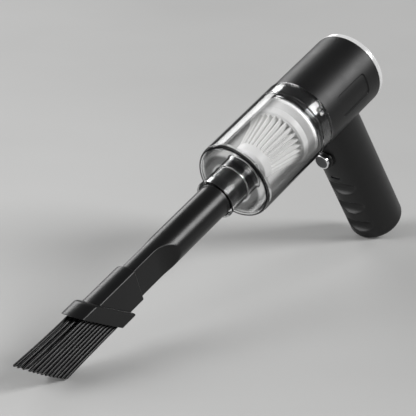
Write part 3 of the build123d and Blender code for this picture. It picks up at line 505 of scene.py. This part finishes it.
class Finishes:
    """Every finish of the machine, built once."""

    def __init__(self) -> None:
        """Builds the materials."""
        blacks = ((0.0045, 0.0045, 0.0047), (0.006, 0.006, 0.0062))
        self.shell = Moulded("satin_black_shell", *blacks, 0.43, specular=0.37).material()
        self.nozzle = Moulded("satin_black_nozzle", *blacks, 0.31, specular=0.34).material()
        self.bezel = Moulded("black_bezel", *blacks, 0.4, specular=0.37).material()
        self.collar = Moulded("glossy_black_collar", *blacks, 0.16, gloss_drift=0.02, coat=0.5).material()
        self.strand = Moulded("black_nylon", (0.003, 0.003, 0.0032), (0.005, 0.005, 0.0052), 0.3,
                              gloss_drift=0.05, grain=900.0, specular=0.28).material()
        self.clear = ClearPlastic().material()
        self.white = Moulded("glossy_white", (0.8, 0.8, 0.8), (0.84, 0.84, 0.84), 0.2, gloss_drift=0.03,
                             grain=700.0, grain_depth=0.006, coat=0.3).material()
        self.frame = Moulded("matt_white_frame", (0.8, 0.8, 0.795), (0.84, 0.84, 0.835), 0.45).material()
        self.fleece = Figured("filter_fleece", (0.84, 0.84, 0.83), (0.88, 0.88, 0.87), 0.9, scale=1500.0,
                              share=0.25, depth=0.012, sheen=0.25, specular=0.2).material()
        self.rubber = Moulded("seal_rubber", (0.012, 0.012, 0.012), (0.02, 0.02, 0.02), 0.6).material()
        self.foam = Figured("open_foam", (0.015, 0.015, 0.016), (0.09, 0.09, 0.092), 0.95, Pattern.CELLS,
                            scale=900.0, depth=0.5).material()
        self.plated = Metal("bright_plated_ring", (0.78, 0.78, 0.8), (0.86, 0.86, 0.87), 0.1,
                            depth=0.001).material()
        self.face = Moulded("soft_grey_face", (0.035, 0.036, 0.038), (0.05, 0.051, 0.053), 0.5).material()
        self.inner = Moulded("dark_inner_plastic", (0.02, 0.02, 0.022), (0.035, 0.035, 0.037),
                             0.5).material()
        self.steel = Metal("plated_steel", (0.42, 0.42, 0.43), (0.6, 0.6, 0.61), 0.32).material()
        # Painted shade: the charging socket's steel is darkened to stand in for the shade inside its slot.
        self.steel_with_painted_shade = Metal("steel_with_painted_shade", (0.06, 0.06, 0.062), (0.1, 0.1, 0.102), 0.4).material()
        self.brass = Metal("bare_brass", (0.6, 0.45, 0.18), (0.75, 0.58, 0.26), 0.3).material()
        self.board = Figured("board_laminate", (0.02, 0.13, 0.05), (0.01, 0.07, 0.025), 0.35, Pattern.WEAVE,
                             scale=260.0, depth=0.03, coat=0.4).material()
        self.sleeve = Moulded("cell_sleeve", (0.03, 0.12, 0.25), (0.045, 0.16, 0.32), 0.3, gloss_drift=0.04,
                              grain=500.0).material()


@dataclass
class SubAssembly:
    """What every sub-assembly shares: the layout, the finishes and how a piece is set in place."""

    layout: Layout
    finishes: Finishes

    @staticmethod
    def placed(name: str, mesh: Mesh, place: Placement) -> Piece:
        """Sets a mesh, drawn in millimetres of a placement, in the scene with its faces outward."""
        mesh.transform(place.matrix())
        mesh.normal_update()
        bmesh.ops.recalc_face_normals(mesh, faces=mesh.faces)
        return linked(name, mesh)

    def add(self, name: str, mesh: Mesh, body: Body, slot: Slot, finish: Material,
            replaces: Sequence[str] = (), sharp: float = SHARP, place: Placement | None = None) -> Piece:
        """Places a mesh as a piece that rides on a body.

        Args:
            name: The piece's name.
            mesh: Its mesh, in millimetres of the placement.
            body: The body that it moves with.
            slot: Its material slot in the record; not used.
            finish: Its material.
            replaces: The solids that it stands for.
            sharp: Edges sharper than this many degrees stay crisp.
            place: Where it stands, if not on the main axis.

        Returns:
            The new piece.
        """
        piece = self.placed(name, mesh, place or self.layout.main)
        piece.data.shade_smooth()
        piece.data.set_sharp_from_angle(angle=radians(sharp))
        piece.data.materials.append(finish)
        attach(piece, body.value)
        if replaces:
            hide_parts(*replaces)
        log.info("%s rides on %s with %d faces", name, body.value, len(piece.data.polygons))
        return piece

    def carve(self, piece: Piece, mesh: Mesh, place: Placement) -> None:
        """Cuts a mesh, drawn in millimetres of a placement, out of a piece."""
        cutter = self.placed("cutter", mesh, place)
        cut = piece.modifiers.new("cut", "BOOLEAN")
        cut.object = cutter
        cut.operation = "DIFFERENCE"
        cut.solver = "EXACT"
        bpy.context.view_layer.update()
        graph = bpy.context.evaluated_depsgraph_get()
        carved = bpy.data.meshes.new_from_object(piece.evaluated_get(graph))
        piece.modifiers.remove(cut)
        carved.set_sharp_from_angle(angle=radians(SHARP))
        piece.data = carved
        bpy.data.objects.remove(cutter)

    @staticmethod
    def dress(**finishes: Material) -> None:
        """Gives solids that stay, by name, their finishes."""
        for name, finish in finishes.items():
            solid = frame["nodes"][name]
            if not solid.material_slots:
                solid.data.materials.append(finish)
            for slot in solid.material_slots:
                slot.material = finish
            log.info("%s is dressed in %s", name, finish.name)


@dataclass
class Barrel(SubAssembly):
    """The motor barrel with a pressed panel on each side, its white cap and the dark collar."""

    radius: float = 30.0
    wall: float = 2.4
    length: float = 64.8
    edge: float = 0.5
    sharp: float = 50.0
    panel_start: float = 15.5
    panel_length: float = 35.0
    panel_height: float = 17.6
    panel_rise: float = 3.5
    panel_round: float = 3.0
    panel_depth: float = 0.8
    panel_edge: float = 0.45
    lid_length: float = 4.8
    lid_round: float = 2.2
    lid_plate: float = 3.6
    lid_dish: float = 0.7
    lid_dish_edge: float = 0.8
    lid_dish_round: float = 0.6
    lid_middle: float = 2.0
    lid_skirt: float = 8.0
    lid_skirt_wall: float = 1.7
    lid_skirt_root: float = 0.5
    lid_soft: float = 0.3
    lid_seam: float = 0.2
    lid_columns: int = 240
    vents: int = 20
    vent_start: float = 9.0
    vent_end: float = 23.0
    vent_width: float = 1.8
    vent_over: float = 1.0
    vent_columns: int = 24
    step: float = 0.3
    columns: int = 540

    def panel_share(self, station: float, height: float) -> float:
        """How far a spot of the wall is pressed in, from 0 outside the panel to 1 inside."""
        middle = self.panel_start + self.panel_length / 2
        past_x = abs(station - middle) - self.panel_length / 2 + self.panel_round
        past_y = abs(height - self.panel_rise) - self.panel_height / 2 + self.panel_round
        outside = hypot(max(past_x, 0), max(past_y, 0)) + min(max(past_x, past_y), 0) - self.panel_round
        return 1 - smooth_step(-self.panel_edge, 0, outside)

    def build_lid(self) -> None:
        """Builds the white lid: a rounded rim, a shallow dish, a plug skirt and the ring of slots."""
        rear = self.length + self.lid_length
        plate = rear - self.lid_plate
        dish = rear - self.lid_dish
        dish_edge = self.vent_end + self.lid_dish_edge
        skirt_end = self.length - self.lid_skirt
        bore = self.radius - self.wall
        skirt = bore - self.lid_skirt_wall
        outline = rounded([
            ((plate, self.lid_middle), 0),
            ((dish, self.lid_middle), 0),
            ((dish, dish_edge), self.lid_soft),
            ((rear, dish_edge + 2 * self.lid_dish), self.lid_dish_round),
            ((rear, self.radius), self.lid_round),
            ((self.length, self.radius), self.lid_seam),
            ((self.length, bore), 0),
            ((skirt_end, bore), self.lid_soft),
            ((skirt_end, skirt), self.lid_soft),
            ((plate, skirt), self.lid_skirt_root),
        ])
        mesh = skin(turned(outline[1:] + outline[:1], self.lid_columns), closed=False)
        piece = self.add("white_rear_lid", mesh, Body.HOUSING, Slot.CAP, self.finishes.white, ["rear_cap"])
        cutters = bmesh.new()
        for turn in turns(self.vents):
            fill(cutters, self.vent_rows(turn), closed=False)
        self.carve(piece, cutters, self.layout.main)

    def vent_rows(self, turn: float) -> list[Ring]:
        """Both ends of a round-ended bar that goes through the lid's plate, pointing outward at a turn."""
        half = self.vent_width / 2
        bar = round_ended(self.vent_start + half, self.vent_end - half, half, turns(self.vent_columns, 0.5))
        outward = Vector((cos(turn), sin(turn)))
        sideways = Vector((-sin(turn), cos(turn)))
        spots = [outward * reach + sideways * aside for reach, aside in bar]
        stations = (self.length - self.vent_over, self.length + self.lid_length + self.vent_over)
        return [[Vector((*spot, station)) for spot in spots] for station in stations]

    def build(self) -> None:
        """Builds the barrel and its lid, and dresses the collar."""
        inner = self.radius - self.wall
        outline = rounded([
            ((0, inner), 0),
            ((0, self.radius), self.edge),
            ((self.length, self.radius), self.edge),
            ((self.length, inner), 0),
        ])
        dense = densified(outline, self.step)
        # The plain inner wall needs no rows between its ends.
        rows = [p for p in dense if p.y > inner + self.edge or not 0 < p.x < self.length]
        rings = turned(rows, self.columns)
        for ring in rings:
            for point in ring:
                reach = hypot(point.x, point.y)
                if reach > self.radius - self.edge:
                    pressed = self.panel_depth * self.panel_share(point.z, point.y)
                    point.xy *= (reach - pressed) / reach
        mesh = skin(rings, closed=True)
        self.add("barrel_shell", mesh, Body.HOUSING, Slot.SHELL, self.finishes.shell,
                 ["motor_barrel"], self.sharp)
        self.build_lid()
        self.dress(front_collar=self.finishes.collar)


@dataclass
class DustCup(SubAssembly):
    """The clear cup: shell with a rounded front, neck outside, duct inside and fine grooves at the rear."""

    radius: float = 30.75
    bore: float = 28.75
    rear: float = -0.3
    rear_lip: float = 0.2
    front: float = -88.0
    front_wall: float = 2.2
    front_round: float = 6.0
    neck_radius: float = 15.0
    neck_bore: float = 12.95
    neck_front: float = -108.0
    neck_root: float = 0.9
    bead: float = 0.7
    bead_length: float = 2.4
    bead_rear_soft: float = 0.5
    bead_front_soft: float = 0.7
    duct_end: float = -74.3
    duct_lip: float = 1.5
    duct_root: float = 0.6
    air_radius: float = 11.15
    rim_soft: float = 0.4
    fine_soft: float = 0.3
    # Painted shade: a dark ring painted on the wall behind the rounded front, and a share of it on the front face.
    painted_ring_place: float = 4.0
    painted_ring_width: float = 1.0
    painted_ring_core: float = 0.4
    painted_face_shade: float = 0.48
    face_soft: float = 2.0
    pane_front: float = 6.0
    pane_rear: float = -17.0
    pane_soft: float = 1.5
    groove_depth: float = 0.45
    groove_half: float = 0.45
    groove_soft: float = 0.15
    grooves: tuple[float, ...] = (-3.2, -13.2, -15.4)
    round_steps: int = 8
    step: float = 1.0
    columns: int = 360

    def outline(self) -> list[Vector]:
        """The wall's outline of (station, radius) points."""
        inside = self.front + self.front_wall
        bead_end = self.neck_front + self.bead_length
        bead_top = self.neck_radius + self.bead
        lip = self.duct_end - self.duct_lip
        corners = [((self.rear, self.bore), self.rear_lip), ((self.rear, self.radius), self.rim_soft)]
        for middle in self.grooves:
            corners += [
                ((middle + self.groove_half, self.radius), self.groove_soft),
                ((middle, self.radius - self.groove_depth), self.groove_soft),
                ((middle - self.groove_half, self.radius), self.groove_soft),
            ]
        corners += [
            ((self.front, self.radius), self.front_round),
            ((self.front, self.neck_radius), self.neck_root),
            ((bead_end, self.neck_radius), self.fine_soft),
            ((bead_end, bead_top), self.bead_rear_soft),
            ((self.neck_front, bead_top), self.bead_front_soft),
            ((self.neck_front, self.neck_bore), self.fine_soft),
            ((lip, self.neck_bore), 0),
            ((lip, self.air_radius), 0),
            ((self.duct_end, self.air_radius), self.fine_soft),
            ((self.duct_end, self.neck_radius), self.rim_soft),
            ((inside, self.neck_radius), self.duct_root),
            ((inside, self.bore), self.front_round - self.front_wall),
        ]
        return rounded(corners, self.round_steps)

    def painted_shade_share(self, radius: float, station: float) -> float:
        """How much painted shade the wall takes, standing in for light bent away: 1 on a ring behind the rounded
        front, less on the front.
        """
        neck = self.neck_radius + self.bead
        side = self.bore - self.front_round
        face = smooth_step(neck, neck + self.face_soft, radius)
        face *= 1 - smooth_step(side, side + self.face_soft, radius)
        if radius < side:
            return self.painted_face_shade * face
        past = abs(station - self.front - self.painted_ring_place)
        rim = 1 - smooth_step(self.painted_ring_core * self.painted_ring_width, self.painted_ring_width, past)
        return max(rim, self.painted_face_shade * face)

    def pane_share(self, radius: float, station: float) -> float:
        """How much the wall lets sight through: 1 between the rounded front and the foremost groove."""
        if radius < self.bore - self.groove_depth:
            return 0.0
        front = self.front + self.pane_front
        ahead = smooth_step(front, front + self.pane_soft, station)
        return ahead * (1 - smooth_step(self.pane_rear - self.pane_soft, self.pane_rear, station))

    def build(self) -> None:
        """Builds the cup and stores on its points what the finish reads."""
        mesh = skin(turned(densified(self.outline(), self.step), self.columns), closed=True)
        spots = [(hypot(v.co.x, v.co.y), v.co.z) for v in mesh.verts]
        piece = self.add("clear_dust_cup", mesh, Body.CUP, Slot.CUP, self.finishes.clear, ["dust_cup"])
        # The bend value is painted shade: the share of the near-black shader on the ring and the front face.
        for name, share in (("bend", self.painted_shade_share), ("pane", self.pane_share)):
            stored = piece.data.attributes.new(name, "FLOAT", "POINT")
            stored.data.foreach_set("value", [share(*spot) for spot in spots])


@dataclass
class FilterCone(SubAssembly):
    """The white filter: stepped base, folded cone of fleece and smooth front cap."""

    base_front: float = -30.0
    cone_front: float = -59.0
    rear_peak: float = 22.6
    rear_fold: float = 3.6
    front_peak: float = 15.0
    front_fold: float = 2.0
    folds: int = 28
    fold_power: float = 0.9
    sheet: float = 0.6
    tucked: float = 0.4
    sharp: float = 80.0
    rows: int = 24
    columns: int = 1120

    def fold_ring(self, share: float, inset: float) -> Ring:
        """A folded ring of the cone.

        Args:
            share: 0 at the front end, 1 at the base.
            inset: How far the ring lies inside the outer face.

        Returns:
            The ring's points.
        """
        peak = self.front_peak + (self.rear_peak - self.front_peak) * share - inset
        fold = self.front_fold + (self.rear_fold - self.front_fold) * share
        length = self.base_front - self.cone_front + 2 * self.tucked
        station = self.cone_front - self.tucked + length * share
        ring = []
        for turn in turns(self.columns):
            lobe = abs(cos(self.folds * turn / 2))
            reach = peak - fold * (1 - lobe ** self.fold_power)
            ring.append(Vector((reach * cos(turn), reach * sin(turn), station)))
        return ring

    def build(self) -> None:
        """Builds the folded cone and dresses its ends."""
        shares = [i / self.rows for i in range(self.rows + 1)]
        outer = [self.fold_ring(share, 0.0) for share in shares]
        inner = [self.fold_ring(share, self.sheet) for share in reversed(shares)]
        mesh = skin(outer + inner, closed=True)
        self.add("folded_fleece", mesh, Body.FILTER, Slot.FLEECE, self.finishes.fleece,
                 ["filter_pleats"], self.sharp)
        self.dress(filter_base=self.finishes.frame, filter_cap=self.finishes.frame)


@dataclass
class Nozzle(SubAssembly):
    """The black tube, flattened on both sides toward its slanted mouth."""

    rear: float = -75.9
    front: float = -238.4
    radius: float = 12.75
    wall: float = 1.6
    flat: float = 6.0
    flat_length: float = 54.0
    runout: float = 26.0
    slant: float = tan(radians(44.0))
    slant_length: float = 30.0
    rim: float = 0.35
    corner_soft: float = 0.8
    step: float = 1.5

    def section(self, station: float, inset: float) -> Vector:
        """A ring's station, radius, half width over the flats and slant; inset is the depth in the wall."""
        past = station - self.front - self.flat_length
        bend = self.runout + inset
        flat = self.flat - inset
        if past > 0:
            flat += bend - sqrt(max(bend ** 2 - past ** 2, 0.0))
        sheared = 1 - smooth_step(self.front, self.front + self.slant_length, station)
        return Vector((station, self.radius - inset, flat, self.slant * sheared))

    def build(self) -> None:
        """Builds the tube and dresses its seal."""
        count = round((self.rear - self.front) / self.step)
        stations = [self.front + (self.rear - self.front) * i / count for i in range(count + 1)]
        outside = [self.section(s, 0.0) for s in stations]
        inside = [self.section(s, self.wall) for s in reversed(stations)]
        for wall, rim in ((outside, -self.rim), (inside, self.rim)):
            for end in (wall[0], wall[-1]):
                end.y += rim
                end.z += rim
        tube = flat_sided(outside + inside, self.corner_soft)
        self.add("flattened_nozzle", tube, Body.NOZZLE, Slot.NOZZLE, self.finishes.nozzle,
                 ["crevice_nozzle"])
        self.dress(nozzle_seal=self.finishes.rubber)


@dataclass
class Brush(SubAssembly):
    """The brush: a sleeve with a stepped, slanted flange, and long strands in round tufts."""

    sleeve_rear: float = -207.4
    flange_rear: float = -234.4
    mouth: float = -250.4
    ledge: float = -238.5
    backing_rear: float = -247.4
    backing_sunk: float = 0.6
    backing_round: float = 0.2
    backing_steps: int = 3
    sleeve: tuple[float, float] = (14.85, 8.1)
    flange: tuple[float, float] = (18.8, 10.2)
    socket: tuple[float, float] = (13.05, 6.3)
    airway: tuple[float, float] = (11.15, 4.4)
    backing: tuple[float, float] = (17.1, 8.6)
    slant: float = tan(radians(44.0))
    socket_lip: float = 0.3
    sleeve_round: float = 0.8
    flange_root: float = 0.6
    flange_round: float = 2.8
    mouth_round: float = 0.6
    corner_soft: float = 0.9
    strand_length: float = 57.5
    strand_radius: float = 0.165
    strand_root: float = 1.0
    strand_tip: float = 0.7
    strand_sides: int = 5
    strand_parts: int = 5
    strand_sharp: float = 180.0
    tuft_rings: int = 3
    tuft_pitch: float = 0.34
    tuft_share: float = 0.63
    tufts_per_side: int = 10
    tufts_per_end: int = 3
    splay: float = 0.12
    wander: float = 0.1
    uneven: float = 0.35
    tip_round: float = 0.9
    tuft_shade: float = 0.94
    seed: int = 7

    def head_outline(self) -> list[Vector]:
        """The head's closed outline: socket, sleeve, step, flange, recess and airway."""
        return rounded([
            ((self.ledge, *self.socket, self.slant), 0),
            ((self.sleeve_rear, *self.socket, 0), self.socket_lip),
            ((self.sleeve_rear, *self.sleeve, 0), self.sleeve_round),
            ((self.flange_rear, *self.sleeve, self.slant), self.flange_root),
            ((self.flange_rear, *self.flange, self.slant), self.flange_round),
            ((self.mouth, *self.flange, self.slant), self.mouth_round),
            ((self.mouth, *self.backing, self.slant), 0),
            ((self.backing_rear, *self.backing, self.slant), 0),
            ((self.backing_rear, *self.airway, self.slant), 0),
            ((self.ledge, *self.airway, self.slant), 0),
        ])

    def backing_outline(self) -> list[Vector]:
        """The closed outline of the plate that holds the strands."""
        face = self.mouth + self.backing_sunk
        return rounded([
            ((face, *self.backing, self.slant), self.backing_round),
            ((self.backing_rear, *self.backing, self.slant), 0),
            ((self.backing_rear, *self.airway, self.slant), 0),
            ((face, *self.airway, self.slant), self.backing_round),
        ], self.backing_steps)

    def tuft_centres(self) -> list[Vector]:
        """Tuft centres (x, height) round the mouth; the far row stands in the gaps of the near row."""
        radius = self.airway[0] + (self.backing[0] - self.airway[0]) * self.tuft_share
        flat = self.airway[1] + (self.backing[1] - self.airway[1]) * self.tuft_share
        height = sqrt(radius ** 2 - flat ** 2)
        half_turn = asin(flat / radius)
        centres = []
        for way in (1, -1):
            shift = 0.0 if way > 0 else 0.5
            for i in range(round(self.tufts_per_side - 2 * shift)):
                rise = -1 + 2 * (i + shift) / (self.tufts_per_side - 1)
                centres.append(Vector((way * flat, rise * height)))
            for i in range(self.tufts_per_end):
                turn = half_turn * (-1 + 2 * (i + 1) / (self.tufts_per_end + 1))
                centres.append(Vector((radius * sin(turn), way * radius * cos(turn))))
        return centres

    def strand_offsets(self) -> list[Vector]:
        """Strand centres within a tuft: one in the middle and rings of 6, 12 and so on round it."""
        offsets = [Vector((0.0, 0.0))]
        for ring in range(1, self.tuft_rings + 1):
            for turn in turns(6 * ring):
                offsets.append(Vector((cos(turn), sin(turn))) * (ring * self.tuft_pitch))
        return offsets

    def add_strand(self, mesh: Mesh, normals: list[Vector], centre: Vector, offset: Vector,
                   draw: random.Random) -> None:
        """Adds one strand, which wanders a little and ends in a tapered tip on or above the floor.

        Args:
            mesh: The mesh that takes the strand.
            normals: Takes the shading direction of each new vertex: partly the strand's, partly the tuft's.
            centre: The tuft's centre.
            offset: The strand's place in the tuft.
            draw: The source of small differences.
        """
        root = centre + offset
        drift = Vector((draw.uniform(-1, 1), draw.uniform(-1, 1))) * self.wander
        reach = offset.length / (self.tuft_rings * self.tuft_pitch)
        short = draw.uniform(0, self.uneven) + self.tip_round * reach ** 2
        start = self.mouth + self.strand_root - self.slant * root.y
        end = self.mouth - self.strand_length + short - self.slant * root.y
        place = self.layout.main
        bend = Vector((centre.x, max(centre.y, 0.0))) * self.splay + drift
        height = (place.origin.z - FLOOR) / MM + place.upright.z * (root + bend).y + place.along.z * end
        end += max(2 * self.strand_radius - height, 0.0) / place.along.z
        rings = []
        for k in range(self.strand_parts + 1):
            share = k / self.strand_parts
            middle = root + bend * share * share
            station = start + (end - start) * share
            thick = self.strand_radius * (self.strand_tip if k == self.strand_parts else 1.0)
            ring = []
            for turn in turns(self.strand_sides):
                way = Vector((cos(turn), sin(turn)))
                ring.append(Vector((*(middle + way * thick), station)))
                toward = way * (1 - self.tuft_shade) + offset.normalized() * (self.tuft_shade * reach)
                normals.append((place.across * toward.x + place.upright * toward.y).normalized())
            rings.append(ring)
        fill(mesh, rings, closed=False)

    def build(self) -> None:
        """Builds the head, the backing plate and the strands."""
        head = flat_sided(self.head_outline(), self.corner_soft)
        backing = flat_sided(self.backing_outline(), self.corner_soft)
        self.add("slanted_brush_head", head, Body.BRUSH, Slot.NOZZLE, self.finishes.nozzle, ["brush_head"])
        self.add("bristle_backing", backing, Body.BRUSH, Slot.BRISTLE, self.finishes.strand)
        draw = random.Random(self.seed)
        strands = bmesh.new()
        normals: list[Vector] = []
        for centre in self.tuft_centres():
            for offset in self.strand_offsets():
                self.add_strand(strands, normals, centre, offset, draw)
        piece = self.add("brush_strands", strands, Body.BRUSH, Slot.BRISTLE,
                         self.finishes.strand, ["bristles"], self.strand_sharp)
        piece.data.normals_split_custom_set_from_vertices(normals)


@dataclass
class Grip(SubAssembly):
    """The round leaning grip with finger scoops, a rounded foot and a slot for the charging socket."""

    radius: float = 21.5
    barrel_radius: float = 30.0
    buried: float = 1.0
    foot_round: float = 5.0
    foot_parts: int = 12
    foot_shares: tuple[float, ...] = (0.6, 0.3)
    scoops: int = 3
    first_scoop: float = 83.5
    scoop_pitch: float = 22.5
    scoop_depth: float = 4.3
    scoop_height: float = 13.5
    scoop_soft: float = 0.7
    socket_depth: float = 70.8
    socket_width: float = 9.1
    socket_height: float = 3.1
    socket_cut: float = 6.0
    socket_over: float = 2.0
    socket_columns: int = 32
    columns: int = 300
    step: float = 0.6

    def scoop_limit(self, depth: float) -> float:
        """How far forward the grip may reach at a depth."""
        bend = (self.scoop_height ** 2 / 4 + self.scoop_depth ** 2) / (2 * self.scoop_depth)
        centre = self.radius - self.scoop_depth + bend
        limit = 2 * self.radius
        for i in range(self.scoops):
            away = depth - self.first_scoop - i * self.scoop_pitch
            if abs(away) < bend:
                limit = min(limit, centre - sqrt(bend ** 2 - away ** 2))
        return limit

    def side_point(self, turn: float, share: float, bottom: float) -> Vector:
        """A point of the side: share 0 inside the barrel, 1 where the foot's rounding starts."""
        x = self.radius * sin(turn)
        front = self.radius * cos(turn)
        rise = sqrt((self.barrel_radius - self.buried) ** 2 - x ** 2)
        top = (rise - front * sin(self.layout.lean)) / cos(self.layout.lean)
        depth = top + (bottom - top) * share
        front = soft_min(front, self.scoop_limit(depth), self.scoop_soft)
        return Vector((x, front, depth))

    def rings(self) -> list[Ring]:
        """Rings from the barrel down the side, round the foot and over its flat."""
        length = self.layout.grip_length
        bottom = length - self.foot_round
        around = turns(self.columns)
        rows = round(bottom / self.step)
        rings = [[self.side_point(t, i / rows, bottom) for t in around] for i in range(rows + 1)]
        foot = []
        for k in range(1, self.foot_parts + 1):
            bend = pi / 2 * k / self.foot_parts
            radius = self.radius - self.foot_round * (1 - cos(bend))
            foot.append((radius, bottom + self.foot_round * sin(bend)))
        foot += [(share * self.radius, length) for share in self.foot_shares]
        for radius, depth in foot:
            rings.append([Vector((radius * sin(t), radius * cos(t), depth)) for t in around])
        return rings

    def cut_slot(self, piece: Piece) -> None:
        """Cuts the slot of the charging socket out of the front."""
        half = self.socket_height / 2
        side = (self.socket_width - self.socket_height) / 2
        bar = round_ended(-side, side, half, turns(self.socket_columns))
        fronts = (self.radius - self.socket_cut, self.radius + self.socket_over)
        rows = [[Vector((x, front, self.socket_depth + aside)) for x, aside in bar] for front in fronts]
        self.carve(piece, skin(rows, closed=False), self.layout.grip)

    def build(self) -> None:
        """Builds the grip and dresses the button and the socket."""
        mesh = skin(self.rings(), closed=False)
        piece = self.add("leaning_grip", mesh, Body.HOUSING, Slot.SHELL, self.finishes.shell,
                         ["handle_shell"], place=self.layout.grip)
        self.cut_slot(piece)
        self.dress(button_bezel=self.finishes.bezel, power_button=self.finishes.plated)
        # The socket's darkened steel is painted shade for the inside of its slot.
        self.dress(button_face=self.finishes.face, charge_socket=self.finishes.steel_with_painted_shade)


@dataclass
class InnerWorks(SubAssembly):
    """What the shells hide: motor, fan, seals, boards and cells."""

    def build(self) -> None:
        """Dresses the inner solids."""
        use = self.finishes
        self.dress(cup_seal=use.rubber, filter_gasket=use.rubber, exhaust_foam=use.foam)
        self.dress(fan_shroud=use.inner, impeller=use.inner, motor_mount=use.inner)
        self.dress(switch_body=use.inner, battery_holder=use.inner, battery_cells=use.sleeve)
        self.dress(motor_can=use.steel, motor_shaft=use.steel, battery_link=use.steel)
        self.dress(motor_terminals=use.brass, switch_board=use.board, charge_board=use.board)


@dataclass(frozen=True)
class Lamp:
    """A lamp that shines from its place toward its aim: far away and so many degrees wide, or square."""

    name: str
    place: Spot
    strength: float
    degrees: float = 0.0
    side: float = 0.0
    aim: Spot = (0.0, 0.0, 0.0)

    def hang(self) -> None:
        """Hangs the lamp; one with a side is square."""
        lamp = bpy.data.lights.new(self.name, "AREA" if self.side else "SUN")
        lamp.energy = self.strength
        if self.side:
            lamp.size = self.side
        else:
            lamp.angle = radians(self.degrees)
        holder = bpy.data.objects.new(self.name, lamp)
        holder.location = self.place
        toward = Vector(self.aim) - Vector(self.place)
        holder.rotation_euler = toward.to_track_quat("-Z", "Y").to_euler()
        bpy.context.scene.collection.objects.link(holder)


@dataclass
class Studio:
    """A plain pale floor, soft lamps, an even surrounding and the camera of the photograph."""

    floor_half: float = 8.0
    floor_parts: int = 2
    floor_dark: Colour = (0.51, 0.51, 0.505)
    floor_light: Colour = (0.55, 0.55, 0.545)
    floor_scale: float = 3.0
    floor_roughness: float = 0.85
    floor_sheen: float = 0.2
    surround: Colour = (0.6, 0.6, 0.6)
    surround_strength: float = 0.27
    aim: Spot = (0.0, 0.03, 0.1)
    camera_place: Spot = (0.887893, -1.117894, 0.562309)
    camera_azimuth: float = 38.88
    camera_elevation: float = 18.924
    camera_reach: float = 100.0
    focal_pixels: float = 2092.6

    def lay_floor(self) -> None:
        """Lays the floor under the lowest point."""
        recipe = Recipe("pale_floor")
        pale = recipe.shades(recipe.noise(self.floor_scale), self.floor_dark, self.floor_light)
        recipe.set(Base_Color=pale, Roughness=self.floor_roughness, Specular_IOR_Level=self.floor_sheen)
        mesh = bmesh.new()
        parts = self.floor_parts
        bmesh.ops.create_grid(mesh, x_segments=parts, y_segments=parts, size=self.floor_half)
        floor = linked("floor", mesh)
        floor.data.materials.append(recipe.material)
        floor.location.z = FLOOR

    def light(self) -> None:
        """Sets the surrounding and hangs the lamps."""
        world = bpy.data.worlds.new("surrounding")
        world.use_nodes = True
        ground = world.node_tree.nodes["Background"]
        ground.inputs["Color"].default_value = (*self.surround, 1.0)
        ground.inputs["Strength"].default_value = self.surround_strength
        bpy.context.scene.world = world
        Lamp("right_rear", (0.72, 0.39, 0.57), strength=2.1, degrees=24.0).hang()
        Lamp("left_rear", (-0.79, 0.45, 0.42), strength=0.61, degrees=24.0).hang()
        Lamp("rear", (0.0, 0.97, 0.24), strength=0.6, degrees=14.0).hang()
        Lamp("front", (-1.3, -1.56, 0.95), strength=43.0, side=1.5, aim=self.aim).hang()

    def set_camera(self) -> None:
        """Sets the camera at the photograph's viewing angle."""
        lens = bpy.data.cameras.new("camera")
        lens.sensor_fit = "HORIZONTAL"
        lens.angle = 2 * atan(IMAGE_SIDE / 2 / self.focal_pixels)
        lens.clip_end = self.camera_reach
        camera = bpy.data.objects.new("camera", lens)
        camera.location = self.camera_place
        camera.rotation_euler = (radians(90 - self.camera_elevation), 0.0, radians(self.camera_azimuth))
        bpy.context.scene.collection.objects.link(camera)
        bpy.context.scene.camera = camera

    def build(self) -> None:
        """Builds the studio."""
        self.lay_floor()
        self.light()
        self.set_camera()
        bpy.context.scene.view_settings.view_transform = "Standard"


def main() -> None:
    """Builds every sub-assembly in order, then the studio."""
    logging.basicConfig(level=logging.INFO, format="%(name)s: %(message)s")
    layout = Layout()
    finishes = Finishes()
    for assembly in (Barrel, DustCup, FilterCone, Nozzle, Brush, Grip, InnerWorks):
        assembly(layout, finishes).build()
    Studio().build()


if __name__ == "__main__":
    main()
